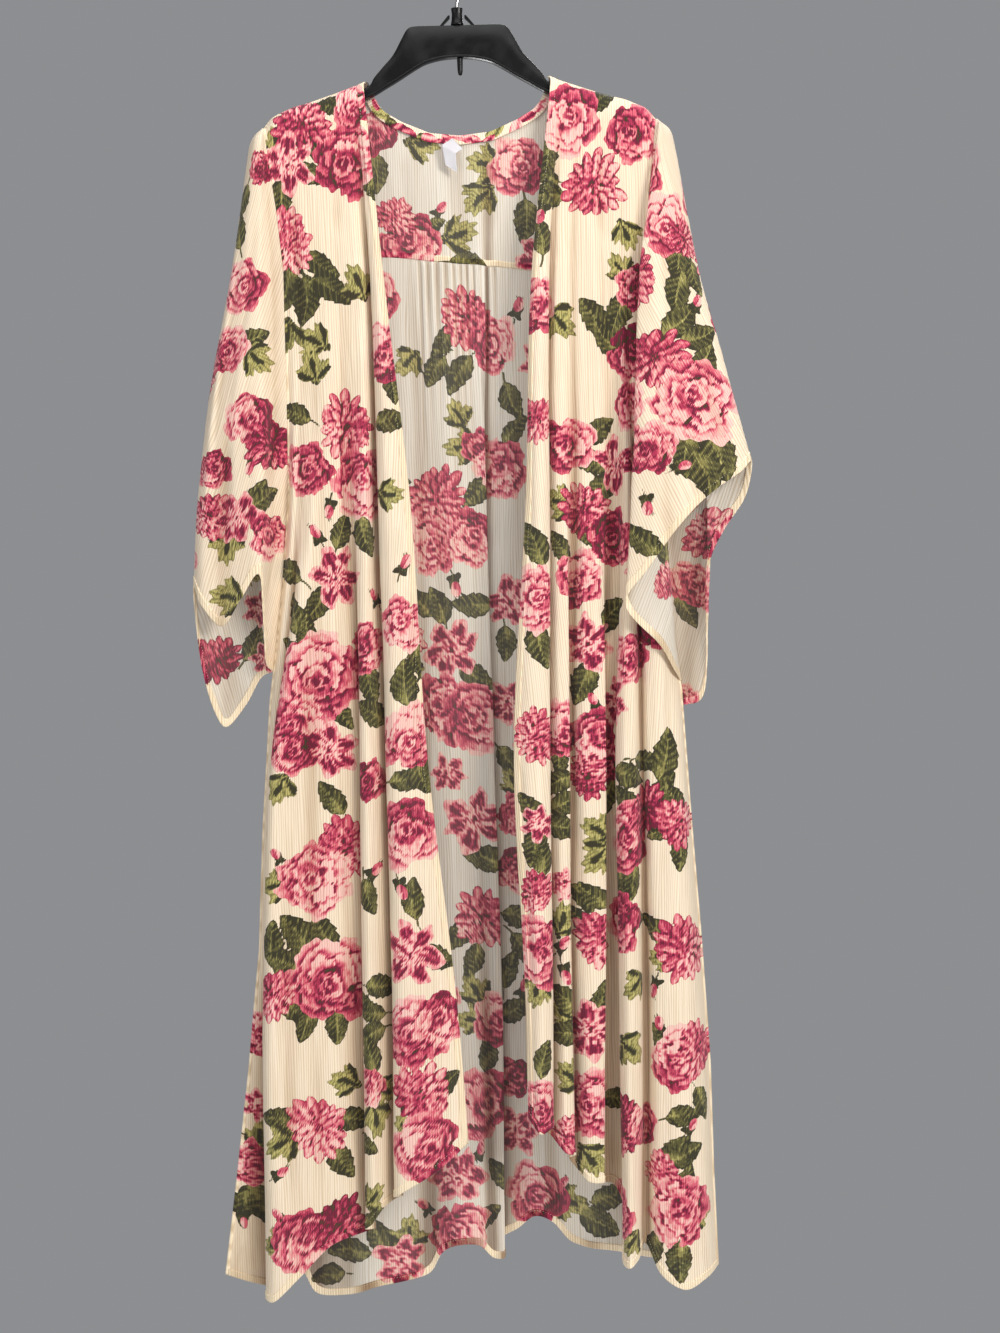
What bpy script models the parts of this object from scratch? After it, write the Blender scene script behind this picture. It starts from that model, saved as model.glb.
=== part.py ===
"""Open kimono coat with wide sleeves, hanging on a plastic hanger with a wire hook.

Lengths are in millimetres and are turned into metres where a mesh is made. The tables give heights from
the level 20 mm under the held point, because the hook's crook reaches that much above it, and
HOOK_DROP moves them. X is to the right as the coat is seen from the front, Y is to the back and Z is up.
"Left" and "right" in a name are the sides as they are seen from the front.

Each cloth piece is a loft through rails. A rail is one line that runs down the piece: a crest, a valley
or an edge of a fold. A row of a table is one rail, and its columns give the rail's X and Y at fixed
heights and the height at which it ends.
"""

import math

import bpy
import numpy as np

for held in list(bpy.data.objects):
    bpy.data.objects.remove(held, do_unlink=True)

MM = 0.001
HOOK_DROP = 20.0  # the tables' zero is this far under the held point
WALL = 1.6  # cloth wall
BAND_WALL = 1.2  # neck binding and label
GAP = 0.4  # distance between two pieces along a seam
WRAP = 12.0  # height over which the cloth turns over the hanger's arm
UNDERARM = -560.0
YOKE_ENDS = -306.0
TOP_DEPTH = 11.5  # how far the fronts lie before the middle plane, just under the shoulder
NECK_RAIL = 98.0  # rails nearer the middle start at the neck edge
TURNED_APART = 1.9  # how far a sleeve's edge lies from the body's where both turn to the side
LOOSE_OVER = 60.0  # height under the arm over which the sleeve comes free of the body
LOOSE_APART = 2.0

# the hanger
WEB_HALF = 3.0
RIM_HALF = 5.0
RIM_HIGH = 3.0
RIM_SHARE = 0.4  # the most of the plate's height that the rim takes
WIRE = 1.9
CROOK = 20.0

COLOURS = {
    "printed_cloth": ((0.80, 0.55, 0.45, 1.0), 0.85, 0.0),
    "binding_cloth": ((0.75, 0.45, 0.42, 1.0), 0.85, 0.0),
    "label_white": ((0.85, 0.85, 0.85, 1.0), 0.7, 0.0),
    "black_plastic": ((0.015, 0.015, 0.016, 1.0), 0.42, 0.0),
    "wire_steel": ((0.62, 0.62, 0.63, 1.0), 0.28, 1.0),
}

# shoulder ridge, height against distance from the middle
SHOULDER = (
    (96, -112),
    (108, -117),
    (135, -126.5),
    (158, -134),
    (180, -140),
    (200, -149),
    (211, -159),
    (221, -169),
    (226, -179),
)
# back neck edge, height against distance from the middle
NECK = ((0, -171.5), (33, -168), (63, -155.5), (81, -145), (88, -137), (94, -125), (96.5, -116))

# armhole and side seam: height, left X, right X, half depth of the opening, turn of the wall at the seam
SEAM = (
    (-161, 211.0, 211.0, 0.0, 0.0),
    (-163.5, 210.4, 210.4, 5.4, 0.0),
    (-171, 209.4, 209.4, 8.6, 0.0),
    (-200, 205.0, 206.0, 11.0, 0.0),
    (-250, 198.0, 200.0, 13.0, 0.0),
    (-306, 192.6, 196.6, 14.0, 0.0),
    (-320, 191.5, 196.0, 14.0, 0.0),
    (-400, 191.5, 196.0, 13.0, 0.0),
    (-470, 192.0, 197.0, 10.5, 0.30),
    (-520, 193.0, 199.0, 6.5, 0.70),
    (-560, 194.5, 201.0, 0.0, 1.00),
    (-662, 203.5, 211.0, 0.0, 1.00),
    (-780, 219.5, 224.5, 0.0, 1.00),
    (-915, 230.5, 231.5, 0.0, 1.00),
    (-1050, 238.0, 239.5, 0.0, 1.00),
    (-1180, 252.5, 245.5, 0.0, 1.00),
    (-1295, 268.0, 246.5, 0.0, 1.00),
    (-1400, 283.0, 249.0, 0.0, 1.00),
)
# depth of the side seam under the arm: height, left Y, right Y
SIDE_DEPTH = ((-560, 0, 0), (-850, 1, 0), (-1100, 4, 1), (-1400, 10, 2))

# heights along the seam where a piece has a row of points
FRONT_KNOTS = (-161, -163.5, -171, -200, -250, -320, -400, -470, -520, -560)
YOKE_KNOTS = (-161, -163.5, -171, -200, -250, -306)
SKIRT_KNOTS = (-306, -320, -400, -470, -520, -560)
LOWER_KNOTS = (-662, -780, -915, -1050, -1180, -1295, -1400)
SLEEVE_KNOTS = (-161, -163.5, -171, -200, -250, -306, -320, -400, -470, -520, -560)
SLEEVE_LOWER = (2.3, 2.65, 3.0)  # the sleeve's rows under the arm, 2 at the armhole's foot and 3 at the cuff
SEAM_TOP = SEAM[0][0]
SEAM_FOOT = SEAM[-1][0]
SETTLED_ROW = 3  # the first row where the cloth has turned over the hanger's arm

# heights of the columns x_330 ... x_1400 and y_330 ... y_1400
FRONT_X_AT = (-140, -330, -560, -850, -1100, -1400)
FRONT_Y_AT = (-140, -330, -850, -1400)
# name, x_top, x_330, x_560, x_850, x_1100, x_1400, y_330, y_850, y_1400, hem
FRONT_LEFT = (
    ("flank", -203, -185, -189, -222, -238, -265, -16, -4, 7, -1405),
    ("dip_3", -197, -179, -184, -216, -231, -236, -16, -6, 1, -1411),
    ("valley_3", -191, -174, -179, -211, -225, -228, -17, -11, -5, -1414),
    ("edge_3", -186, -168, -173, -219, -233, -237, -18, -19, -17, -1417),
    ("crest_3", -179, -160, -166, -212, -225, -228, -18, -28, -31, -1418),
    ("main_1", -168, -149, -154, -188, -199, -198, -19, -23, -31, -1391),
    ("main_2", -155, -139, -142, -156, -163, -165, -18, -18, -24, -1361),
    ("dip_2", -147, -132, -133, -121, -124, -127, -17, -11, -10, -1350),
    ("valley_2", -142, -126, -126, -114.5, -117, -120, -18, -14, -14, -1347),
    ("edge_2", -135, -119, -120, -123, -126, -129, -19, -21.5, -23, -1345),
    ("crest_2", -128, -112, -111, -115, -118, -121, -20, -30, -34, -1336),
    ("flat_2", -122, -106, -104, -104, -105, -109, -17, -20, -22, -1322),
    ("dip_1", -116, -101, -96, -93, -93, -97, -13, -12, -12, -1315),
    ("valley_1", -112, -96.5, -89, -86, -86, -90, -15.5, -15.5, -15.5, -1312),
    ("edge_1", -109, -99, -96.5, -95, -95, -99, -22, -24, -25, -1311),
    ("crest_1", -106, -94, -89, -87, -86, -90, -28.5, -34, -36, -1304),
    ("strip", -103.5, -89, -76, -67, -54, -46, -29, -36, -38, -1280),
    ("front_edge", -101, -85, -63, -50, -26, -10, -25, -29, -28, -1254),
)
FRONT_RIGHT = (
    ("front_edge", 97, 73.5, 62, 42, 48, 46, -24, -29, -28, -1229),
    ("strip", 100, 80, 72, 59, 61, 58, -30, -38, -41, -1244),
    ("crest_a", 103, 86, 80, 72, 70, 65, -30, -37, -39, -1242),
    ("edge_a", 106, 92, 87, 80.5, 77, 71.5, -24, -28.5, -29.5, -1238),
    ("valley_a", 109, 90, 80, 72.5, 69, 63.5, -18, -20, -20.5, -1244),
    ("dip_a", 112, 95, 86, 79, 76, 71, -15, -15.5, -15.5, -1253),
    ("flat_b", 116, 100, 95, 91, 89, 85, -18, -24, -27, -1268),
    ("edge_b", 120, 107, 105, 101.5, 97.5, 97.5, -18.5, -20, -20, -1272),
    ("valley_b", 124, 113, 109, 95, 91, 91, -17, -13, -12, -1277),
    ("dip_b", 128, 118, 115, 101.5, 97.5, 97, -16, -9, -7.5, -1286),
    ("flat_c", 133, 126, 125, 117, 113, 109, -18, -20, -22, -1300),
    ("edge_c", 138, 140, 142, 140.5, 134, 124, -19, -17, -17, -1303),
    ("valley_c", 145, 146, 148, 134, 127, 117, -17, -9, -7, -1304),
    ("dip_c", 149, 150, 152, 141, 134, 124, -16, -5, -1.5, -1306),
    ("floor", 153.5, 153, 156, 149, 144, 138, -16, -4, 1, -1310),
    ("valley_d", 158, 156.5, 160, 158, 156, 152, -16, -8, -5, -1352),
    ("edge_d", 163, 160, 164, 150.5, 148, 145, -17, -18, -18, -1387),
    ("crest_d", 168, 164, 169, 160, 157, 152, -18, -29, -33, -1391),
    ("fall_d", 173, 169, 174, 171, 168, 161, -17, -25, -24, -1384),
    ("recess", 178, 173, 179, 179, 177, 170, -16, -12, -8, -1371),
    ("side_1", 184, 178, 184, 187, 188, 186, -16, -22, -27, -1400),
    ("side_2", 191, 184, 190, 203, 209, 210, -15, -26, -32, -1415),
    ("side_3", 201, 190, 196, 219, 229, 233, -14, -17, -22, -1407),
)

BACK_X_AT = (-150, -306, -560, -850, -1100, -1400)
BACK_Y_AT = (-160, -306, -850, -1400)
# name, x_top, x_306, x_560, x_850, x_1100, x_1400, y_160, y_306, y_850, y_1400, yoke seam, hem
BACK = (
    ("back_1", -192, -176, -178, -210, -226, -262, 11, 17, 14, 30, -304, -1400),
    ("back_2", -170, -158, -160, -190, -204, -232, 11, 19, 26, 46, -302, -1404),
    ("back_3", -148, -140, -142, -168, -182, -206, 12, 20, 34, 58, -300, -1412),
    ("back_4", -122, -122, -124, -146, -160, -188, 12, 22, 41, 68, -298, -1441),
    ("back_5", -99, -104, -106, -124, -138, -158, 12, 23, 42, 62, -298, -1442),
    ("back_neck_1", -96.5, -96, -98, -114, -125, -142, 12, 23, 39, 56, -298, -1438),
    ("back_6", -86, -86, -88, -102, -112, -126, 12, 24, 37, 53, -298, -1432),
    ("back_7", -68, -68, -70, -80, -86, -93, 12, 25, 35, 58, -299, -1427),
    ("back_8", -50, -50, -52, -58, -62, -65, 12, 26, 41, 67, -301, -1421),
    ("back_9", -36, -36, -38, -42, -46, -50, 12, 26, 40, 60, -303, -1396),
    ("back_10", -22, -22, -23, -26, -28, -31, 12, 26, 36, 50, -304, -1386),
    ("back_11", -8, -8, -9, -10, -10, -9, 12, 26, 36, 57, -306, -1389),
    ("back_12", 6, 6, 6, 7, 7, 6, 12, 26, 38, 68, -307, -1406),
    ("back_edge", 17, 16, 19, 21, 23, 19, 12, 25, 40, 62, -308, -1404),
    ("back_valley", 27, 26, 17, 15, 17, 14, 12, 30, 55, 84, -309, -1390),
    ("back_13", 36, 35, 29, 30, 33, 34, 12, 27, 50, 76, -310, -1376),
    ("back_14", 50, 48, 44, 48, 51, 53, 12, 26, 44, 66, -312, -1360),
    ("back_15", 66, 63, 61, 67, 70, 72, 12, 26, 42, 66, -314, -1366),
    ("back_16", 86, 82, 82, 90, 92, 91, 12, 25, 40, 60, -316, -1386),
    ("back_neck_2", 96.5, 94, 95, 103, 106, 103, 12, 25, 39, 57, -316, -1391),
    ("back_17", 99, 106, 108, 116, 118, 114, 12, 24, 38, 55, -316, -1394),
    ("back_18", 126, 134, 138, 148, 148, 143, 12, 22, 36, 58, -314, -1399),
    ("back_19", 160, 160, 165, 182, 184, 180, 11, 20, 30, 56, -311, -1406),
    ("back_20", 190, 180, 186, 208, 217, 216, 11, 18, 18, 40, -308, -1405),
)

SLEEVE_X_AT = (-200, -330, -480, -640, -760)
SLEEVE_Y_AT = (-200, -480, -760)
# name, x_top, x_200, x_330, x_480, x_640, x_760, y_200, y_480, y_760, hem
SLEEVE_LEFT = (
    ("valley", -213, -209, -203, -205, -213, -224, -12, -13, -10, -737),
    ("ridge", -215, -214, -219, -220, -225, -230, -19, -30, -30, -643),
    ("front_1", -217, -220, -232, -241, -244, -246, -18, -28, -28, -668),
    ("front_2", -219, -225, -243, -266, -269, -268, -14, -19, -20, -697),
    ("front_3", -220.5, -228.5, -249, -275, -288, -290, -8, -17, -15, -674),
    ("outer", -221.5, -231, -253, -282, -298, -300, 0, -3, -3, -654),
    ("back_1", -220.5, -228, -249, -275, -286, -296, 8, 8, 8, -738),
    ("back_2", -219, -224, -240, -262, -279, -281, 11, 13, 14, -790),
    ("back_3", -217, -219, -230, -246, -262, -268, 12, 16, 18, -806),
    ("back_4", -215, -214, -218, -230, -245, -247, 12, 18, 16, -781),
    ("back_5", -213, -209, -206, -213, -226, -230, 12, 17, 10, -753),
)
SLEEVE_RIGHT = (
    ("inner_1", 213, 211, 203, 205, 213, 217, -13, -22, -18, -757),
    ("inner_2", 214.5, 210, 195, 191, 194, 200, -17, -36, -34, -727),
    ("crest", 215.5, 209, 188, 178, 167, 157, -21, -48, -48, -686),
    ("front_1", 217, 213, 200, 195, 188, 181, -23, -58, -56, -648),
    ("front_2", 218, 219, 221, 230, 232, 232, -21, -57, -51, -592),
    ("front_3", 219.5, 226, 238, 258, 268, 272, -15, -50, -42, -564),
    ("front_4", 220.5, 231, 248, 279, 302, 312, -8, -43, -36, -547),
    ("outer", 221.5, 233, 253, 288, 326, 350, -1, -34, -28, -536),
    ("back_1", 220.5, 230, 250, 279, 306, 318, 7, -24, -18, -572),
    ("back_2", 219.5, 226, 243, 264, 275, 280, 9, -19, -14, -606),
    ("back_3", 218.5, 222, 236, 252, 257, 252, 10, -17, -14, -640),
    ("back_4", 217, 219, 228, 243, 256, 249, 11, -8, -3, -784),
    ("back_5", 215.5, 214, 218, 230, 238, 234, 12, 2, 6, -793),
    ("back_6", 213, 209, 205, 213, 222, 222, 12, 8, 6, -790),
)
CUFF_SEAM = {"left": -747.0, "right": -768.0}

# the hanger's plate: top X, top Z, bottom X, bottom Z, from the middle to a tip
PLATE = (
    (0, -55, 0, -90),
    (24, -55, 17, -91),
    (46, -55.2, 34, -95),
    (54, -58, 44, -100),
    (60, -67.5, 54, -106),
    (70, -85.5, 66, -113.5),
    (81.5, -98.5, 79, -121),
    (91, -109.5, 90, -127.5),
    (96.5, -118, 98, -131),
    (110, -123.5, 110, -137),
    (135, -131, 133, -147.5),
    (158, -138.5, 157, -156.5),
    (180, -145, 180, -165),
    (198, -153.5, 198, -173),
    (208, -163, 207, -177.5),
    (213, -171, 212, -178),
)
# label: left X, left Z, right X, right Z, Y, from its top to its foot
LABEL = (
    (-22, -174, -8, -168, 7.6),
    (-21, -182, 0, -180, 5.5),
    (-19.5, -193, 1.5, -193, 3.5),
    (-17, -203, 2, -205, 4.5),
    (-11, -214, -4, -212, 6.5),
)
LABEL_BOW = 1.2  # how far the label's middle stands behind its two sides

# neck binding: distances from the neck edge down the band
BINDING_ACROSS = (-0.8, 4.0, 9.0)
BINDING_REACH = 92.0
BINDING_POINTS = 27
BINDING_GAP = 1.0

# hanger's socket for the hook: radius and height, as one closed profile
SOCKET = ((2.2, -54.6), (7.2, -54.6), (6.0, -49), (5.6, -42), (6.4, -36), (2.2, -36))
SOCKET_SIDES = 16
SOCKET_FLAT = 0.72  # the socket's depth against its width
# gusset between the socket and the plate: distance from the middle and height
GUSSET = ((7.9, -44), (9.6, -44), (18.5, -54.6), (15.5, -54.6), (7.9, -47))
GUSSET_HALF = 1.6
# stub under the plate: height and radius
STUB = ((-90.4, 3.2), (-104, 2.8), (-109, 1.8))
STUB_X = 2.0
STUB_SIDES = 10
# hook: its shank and bend, X and height, and the arc of its crook in degrees
HOOK_PATH = ((0, -54.2), (0, -40), (0, -32), (2, -26), (8, -20.5), (14, -14))
HOOK_ARC = (-20, 231, 18)
HOOK_SIDES = 8


def at(levels, values, where):
    """Smooth curve through values at falling levels, straight past its ends."""
    x = -np.asarray(levels, float)
    y = np.asarray(values, float)
    w = -np.asarray(where, float)
    d = np.diff(y) / np.diff(x)
    m = np.empty_like(y)
    m[0], m[-1] = d[0], d[-1]
    m[1:-1] = (d[:-1] * np.diff(x)[1:] + d[1:] * np.diff(x)[:-1]) / (x[2:] - x[:-2])
    i = np.clip(np.searchsorted(x, w) - 1, 0, len(x) - 2)
    h = x[i + 1] - x[i]
    t = (w - x[i]) / h
    inside = np.clip(t, 0, 1)
    a = inside * inside * (3 - 2 * inside)
    b = inside * (1 - inside) ** 2
    c = inside * inside * (inside - 1)
    out = y[i] * (1 - a) + y[i + 1] * a + h * (m[i] * b + m[i + 1] * c)
    return out + np.where(t < 0, t * h * m[i], 0) + np.where(t > 1, (t - 1) * h * m[i + 1], 0)


def table_line(table, x):
    """Straight-piece line through a two-column table that is given over the distance from the middle."""
    columns = np.asarray(table, float)
    return np.interp(np.abs(x), columns[:, 0], columns[:, 1])


def seam_line(z, side):
    """X, half depth and turn of the seam on one side, made of straight pieces between its knots."""
    knots = np.asarray(SEAM, float)[::-1]
    column = 1 if side == "left" else 2
    sign = -1.0 if side == "left" else 1.0
    return (
        sign * np.interp(z, knots[:, 0], knots[:, column]),
        np.interp(z, knots[:, 0], knots[:, 3]),
        np.interp(z, knots[:, 0], knots[:, 4]),
    )


def side_depth(z, side):
    """Y of the side seam under the arm."""
    knots = np.asarray(SIDE_DEPTH, float)[::-1]
    return np.interp(z, knots[:, 0], knots[:, 1 if side == "left" else 2])


def turned(distance):
    """Share of a rail's depth that is reached at a distance under the ridge that it hangs over."""
    return np.sqrt(1 - (1 - np.clip(distance / WRAP, 0, 1)) ** 2)


def loft(rails, steps):
    """Smooth surface through rails.

    rails is rows by rails by three. Each span between two rails is cut into its number of steps. Returns
    the points.
    """
    rows, count, _ = rails.shape
    chord = np.linalg.norm(np.diff(rails, axis=1), axis=2).mean(axis=0)
    knots = np.concatenate([[0], np.cumsum(np.sqrt(chord + 0.01))])
    slope = np.diff(rails, axis=1) / np.diff(knots)[None, :, None]
    tangent = np.empty_like(rails)
    tangent[:, 0], tangent[:, -1] = slope[:, 0], slope[:, -1]
    before = np.diff(knots)[:-1][None, :, None]
    after = np.diff(knots)[1:][None, :, None]
    tangent[:, 1:-1] = (slope[:, :-1] * after + slope[:, 1:] * before) / (before + after)
    columns = []
    for i in range(count - 1):
        h = knots[i + 1] - knots[i]
        for k in range(steps[i]):
            t = k / steps[i]
            a = t * t * (3 - 2 * t)
            columns.append(
                rails[:, i] * (1 - a)
                + rails[:, i + 1] * a
                + h * (tangent[:, i] * t * (1 - t) ** 2 + tangent[:, i + 1] * t * t * (t - 1))
            )
    columns.append(rails[:, -1])
    return np.stack(columns, axis=1)


def facing(points):
    """Unit normals of a grid of points, from the differences along its rows and columns."""
    along = np.gradient(points, axis=1)
    down = np.gradient(points, axis=0)
    n = np.cross(along, down)
    return n / np.maximum(np.linalg.norm(n, axis=2, keepdims=True), 1e-9)


def material(name):
    """The slot's material, made at its first use."""
    made = bpy.data.materials.get(name)
    if made is None:
        colour, rough, metal = COLOURS[name]
        made = bpy.data.materials.new(name)
        made.use_nodes = True
        shader = made.node_tree.nodes["Principled BSDF"]
        shader.inputs["Base Color"].default_value = colour
        shader.inputs["Roughness"].default_value = rough
        shader.inputs["Metallic"].default_value = metal
    return made


def node(name, points, faces, slot, smooth=True):
    """One solid from its points in millimetres and its faces."""
    moved = np.asarray(points, float) - np.array([0.0, 0.0, HOOK_DROP])
    mesh = bpy.data.meshes.new(name)
    mesh.from_pydata((moved * MM).tolist(), [], faces)
    mesh.validate()
    mesh.materials.append(material(slot))
    if smooth:
        for face in mesh.polygons:
            face.use_smooth = True
    made = bpy.data.objects.new(name, mesh)
    bpy.context.scene.collection.objects.link(made)
    return made


def walled(name, points, normals, thick, slot):
    """Closed wall round a grid of points, half its thickness to each side.

    Both faces are cut along the same diagonals, so the wall keeps its thickness where a cell is twisted.
    """
    rows, columns, _ = points.shape
    middle = points.reshape(-1, 3)
    front = (points + normals * thick / 2).reshape(-1, 3)
    back = (points - normals * thick / 2).reshape(-1, 3)
    count = rows * columns
    faces = []
    for r in range(rows - 1):
        for c in range(columns - 1):
            a, b = r * columns + c, r * columns + c + 1
            d, e = b + columns, a + columns
            if np.linalg.norm(middle[a] - middle[d]) <= np.linalg.norm(middle[b] - middle[e]):
                cut = ((a, b, d), (a, d, e))
            else:
                cut = ((a, b, e), (b, d, e))
            for t in cut:
                faces.append(t)
                faces.append((t[2] + count, t[1] + count, t[0] + count))
    rim = (
        [c for c in range(columns)]
        + [r * columns + columns - 1 for r in range(1, rows)]
        + [(rows - 1) * columns + c for c in range(columns - 2, -1, -1)]
        + [r * columns for r in range(rows - 2, 0, -1)]
    )
    for i, a in enumerate(rim):
        b = rim[(i + 1) % len(rim)]
        faces.append((b, a, a + count))
        faces.append((b, a + count, b + count))
    return node(name, np.concatenate([front, back]), faces, slot)


def ring_faces(rings, size):
    """Faces of a closed tube of rings that each have the same number of points."""
    faces = []
    for r in range(rings - 1):
        for c in range(size):
            a, b = r * size + c, r * size + (c + 1) % size
            faces.append((a, b, b + size, a + size))
    faces.append(tuple(range(size))[::-1])
    faces.append(tuple((rings - 1) * size + c for c in range(size)))
    return faces


def turn_normals(normals, points, column, z, side, toward):
    """Set the normals along a seam: across the wall at the armhole, turning to the side under the arm.

    toward is 1 where the turned wall faces away from the middle and -1 where it faces the middle.
    """
    _, _, turn = seam_line(z, side)
    angle = turn * math.pi / 2
    down = np.gradient(points[:, column], axis=0)
    across = np.cross(np.array([1.0, 0.0, 0.0]), down)
    across /= np.linalg.norm(across, axis=1, keepdims=True)
    across *= np.sign(np.sum(across[SETTLED_ROW] * normals[SETTLED_ROW, column]))
    outer = across[SETTLED_ROW, 1] * np.sign(points[SETTLED_ROW, column, 1])
    away = (-1.0 if side == "left" else 1.0) * toward * outer
    turned_wall = across * np.cos(angle)[:, None]
    turned_wall[:, 0] += away * np.sin(angle)
    normals[:, column] = turned_wall / np.linalg.norm(turned_wall, axis=1, keepdims=True)


def seam_rail(z, side, front, inset):
    """A body panel's edge along the armhole and the side seam."""
    x, half, turn = seam_line(z, side)
    inward = 1.0 if side == "left" else -1.0
    y = np.where(z >= UNDERARM, 0.0, side_depth(z, side))
    sign = -1.0 if front else 1.0
    depth = np.maximum(half, GAP / 2)
    return np.stack([x + inward * inset, y + sign * depth, z], axis=1)


def shares(knots, top, foot):
    """Where the heights of knots lie between a top and a foot, 0 at the top."""
    return (np.asarray(knots, float) - top) / (foot - top)


def heights(rows, top, middle, foot):
    """Heights of a rail's rows: shares of top to middle up to 1, and 2 plus shares of middle to foot."""
    return np.where(rows <= 1, top + (middle - top) * rows, middle + (foot - middle) * (rows - 2))


def front_panel(side):
    """One front, from the shoulder to its hem, with its folds."""
    table = FRONT_LEFT if side == "left" else FRONT_RIGHT
    upper = shares(FRONT_KNOTS, SEAM_TOP, UNDERARM)
    lower = shares(LOWER_KNOTS, UNDERARM, SEAM_FOOT)
    rows = np.concatenate([upper, 2.0 + lower])
    rails = []
    for _, x_top, *rest in table:
        xs = [x_top] + list(rest[:5])
        ys = [-TOP_DEPTH] + list(rest[5:8])
        ridge = float(table_line(SHOULDER, x_top))
        z = heights(rows, ridge, UNDERARM, rest[8])
        x = at(FRONT_X_AT, xs, z)
        y = at(FRONT_Y_AT, ys, z)
        share = turned(ridge - z)
        rails.append(np.stack([x_top + (x - x_top) * share, -GAP / 2 + (y + GAP / 2) * share, z], axis=1))
    z = heights(rows, SEAM_TOP, UNDERARM, SEAM_FOOT)
    seam = seam_rail(z, side, True, GAP / 2)
    rails = [seam] + rails if side == "left" else rails + [seam]
    rails = np.stack(rails, axis=1)
    points = loft(rails, [2] * (rails.shape[1] - 1))
    normals = facing(points)
    column = 0 if side == "left" else points.shape[1] - 1
    turn_normals(normals, points, column, z, side, 1.0)
    points[0, :, 1] = np.minimum(points[0, :, 1], -GAP / 2)
    normals[0] = -np.sign(normals[SETTLED_ROW - 1, :, 1:2]) * (0.0, 0.0, 1.0)
    walled(f"front_{side}", points, normals, WALL, "printed_cloth")


def back_panel(seam_ends, ends_of):
    """Points and normals of one piece of the back.

    seam_ends is the heights of its side edges, and ends_of gives the heights of a rail's rows from that
    rail's row of the table.
    """
    names = ["seam"] + [entry[0] for entry in BACK] + ["seam"]
    narrow = ({"back_5", "back_neck_1"}, {"back_neck_2", "back_17"})
    steps = [1 if {a, b} in narrow else 2 for a, b in zip(names, names[1:])]
    rails = [seam_rail(seam_ends, "left", False, GAP / 2)]
    for entry in BACK:
        _, x_top, *rest = entry
        z = ends_of(entry)
        x = at(BACK_X_AT, [x_top] + list(rest[:5]), z)
        y = at(BACK_Y_AT, rest[5:9], z)
        share = turned(float(table_line(SHOULDER, x_top)) - z)
        rails.append(np.stack([x_top + (x - x_top) * share, GAP / 2 + (y - GAP / 2) * share, z], axis=1))
    rails.append(seam_rail(seam_ends, "right", False, GAP / 2))
    points = loft(np.stack(rails, axis=1), steps)
    normals = facing(points)
    turn_normals(normals, points, 0, seam_ends, "left", 1.0)
    turn_normals(normals, points, points.shape[1] - 1, seam_ends, "right", 1.0)
    return points, normals


def back_yoke():
    """Upper back, from the shoulders and the neck edge to the seam across the shoulder blades."""
    rows = shares(YOKE_KNOTS, SEAM_TOP, YOKE_ENDS)

    def ends_of(entry):
        on_shoulder = abs(entry[1]) >= NECK_RAIL
        top = float(table_line(SHOULDER if on_shoulder else NECK, entry[1]))
        return heights(rows, top, entry[-2] + GAP / 2, 0.0)

    seam_ends = heights(rows, SEAM_TOP, YOKE_ENDS + GAP / 2, 0.0)
    points, normals = back_panel(seam_ends, ends_of)
    points[0, :, 1] = np.maximum(points[0, :, 1], GAP / 2)
    facing_back = np.sign(normals[SETTLED_ROW, :, 1:2])
    over_arm = (np.abs(points[0, :, 1:2]) < 1.0).astype(float)
    normals[0] = facing_back * (0.0, 0.0, 1.0) * over_arm + normals[0] * (1 - over_arm)
    normals[-1] = facing_back * (0.0, 1.0, 0.0)
    walled("back_yoke", points, normals, WALL, "printed_cloth")


def back_skirt():
    """Gathered lower back, from the yoke's seam to the hem."""
    upper = shares(SKIRT_KNOTS, YOKE_ENDS, UNDERARM)
    lower = shares(LOWER_KNOTS, UNDERARM, SEAM_FOOT)
    rows = np.concatenate([upper, 2.0 + lower])

    def ends_of(entry):
        return heights(rows, entry[-2] - GAP / 2, UNDERARM, entry[-1])

    seam_ends = heights(rows, YOKE_ENDS - GAP / 2, UNDERARM, SEAM_FOOT)
    points, normals = back_panel(seam_ends, ends_of)
    normals[0] = np.sign(normals[SETTLED_ROW, :, 1:2]) * (0.0, 1.0, 0.0)
    walled("back_skirt", points, normals, WALL, "printed_cloth")


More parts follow.
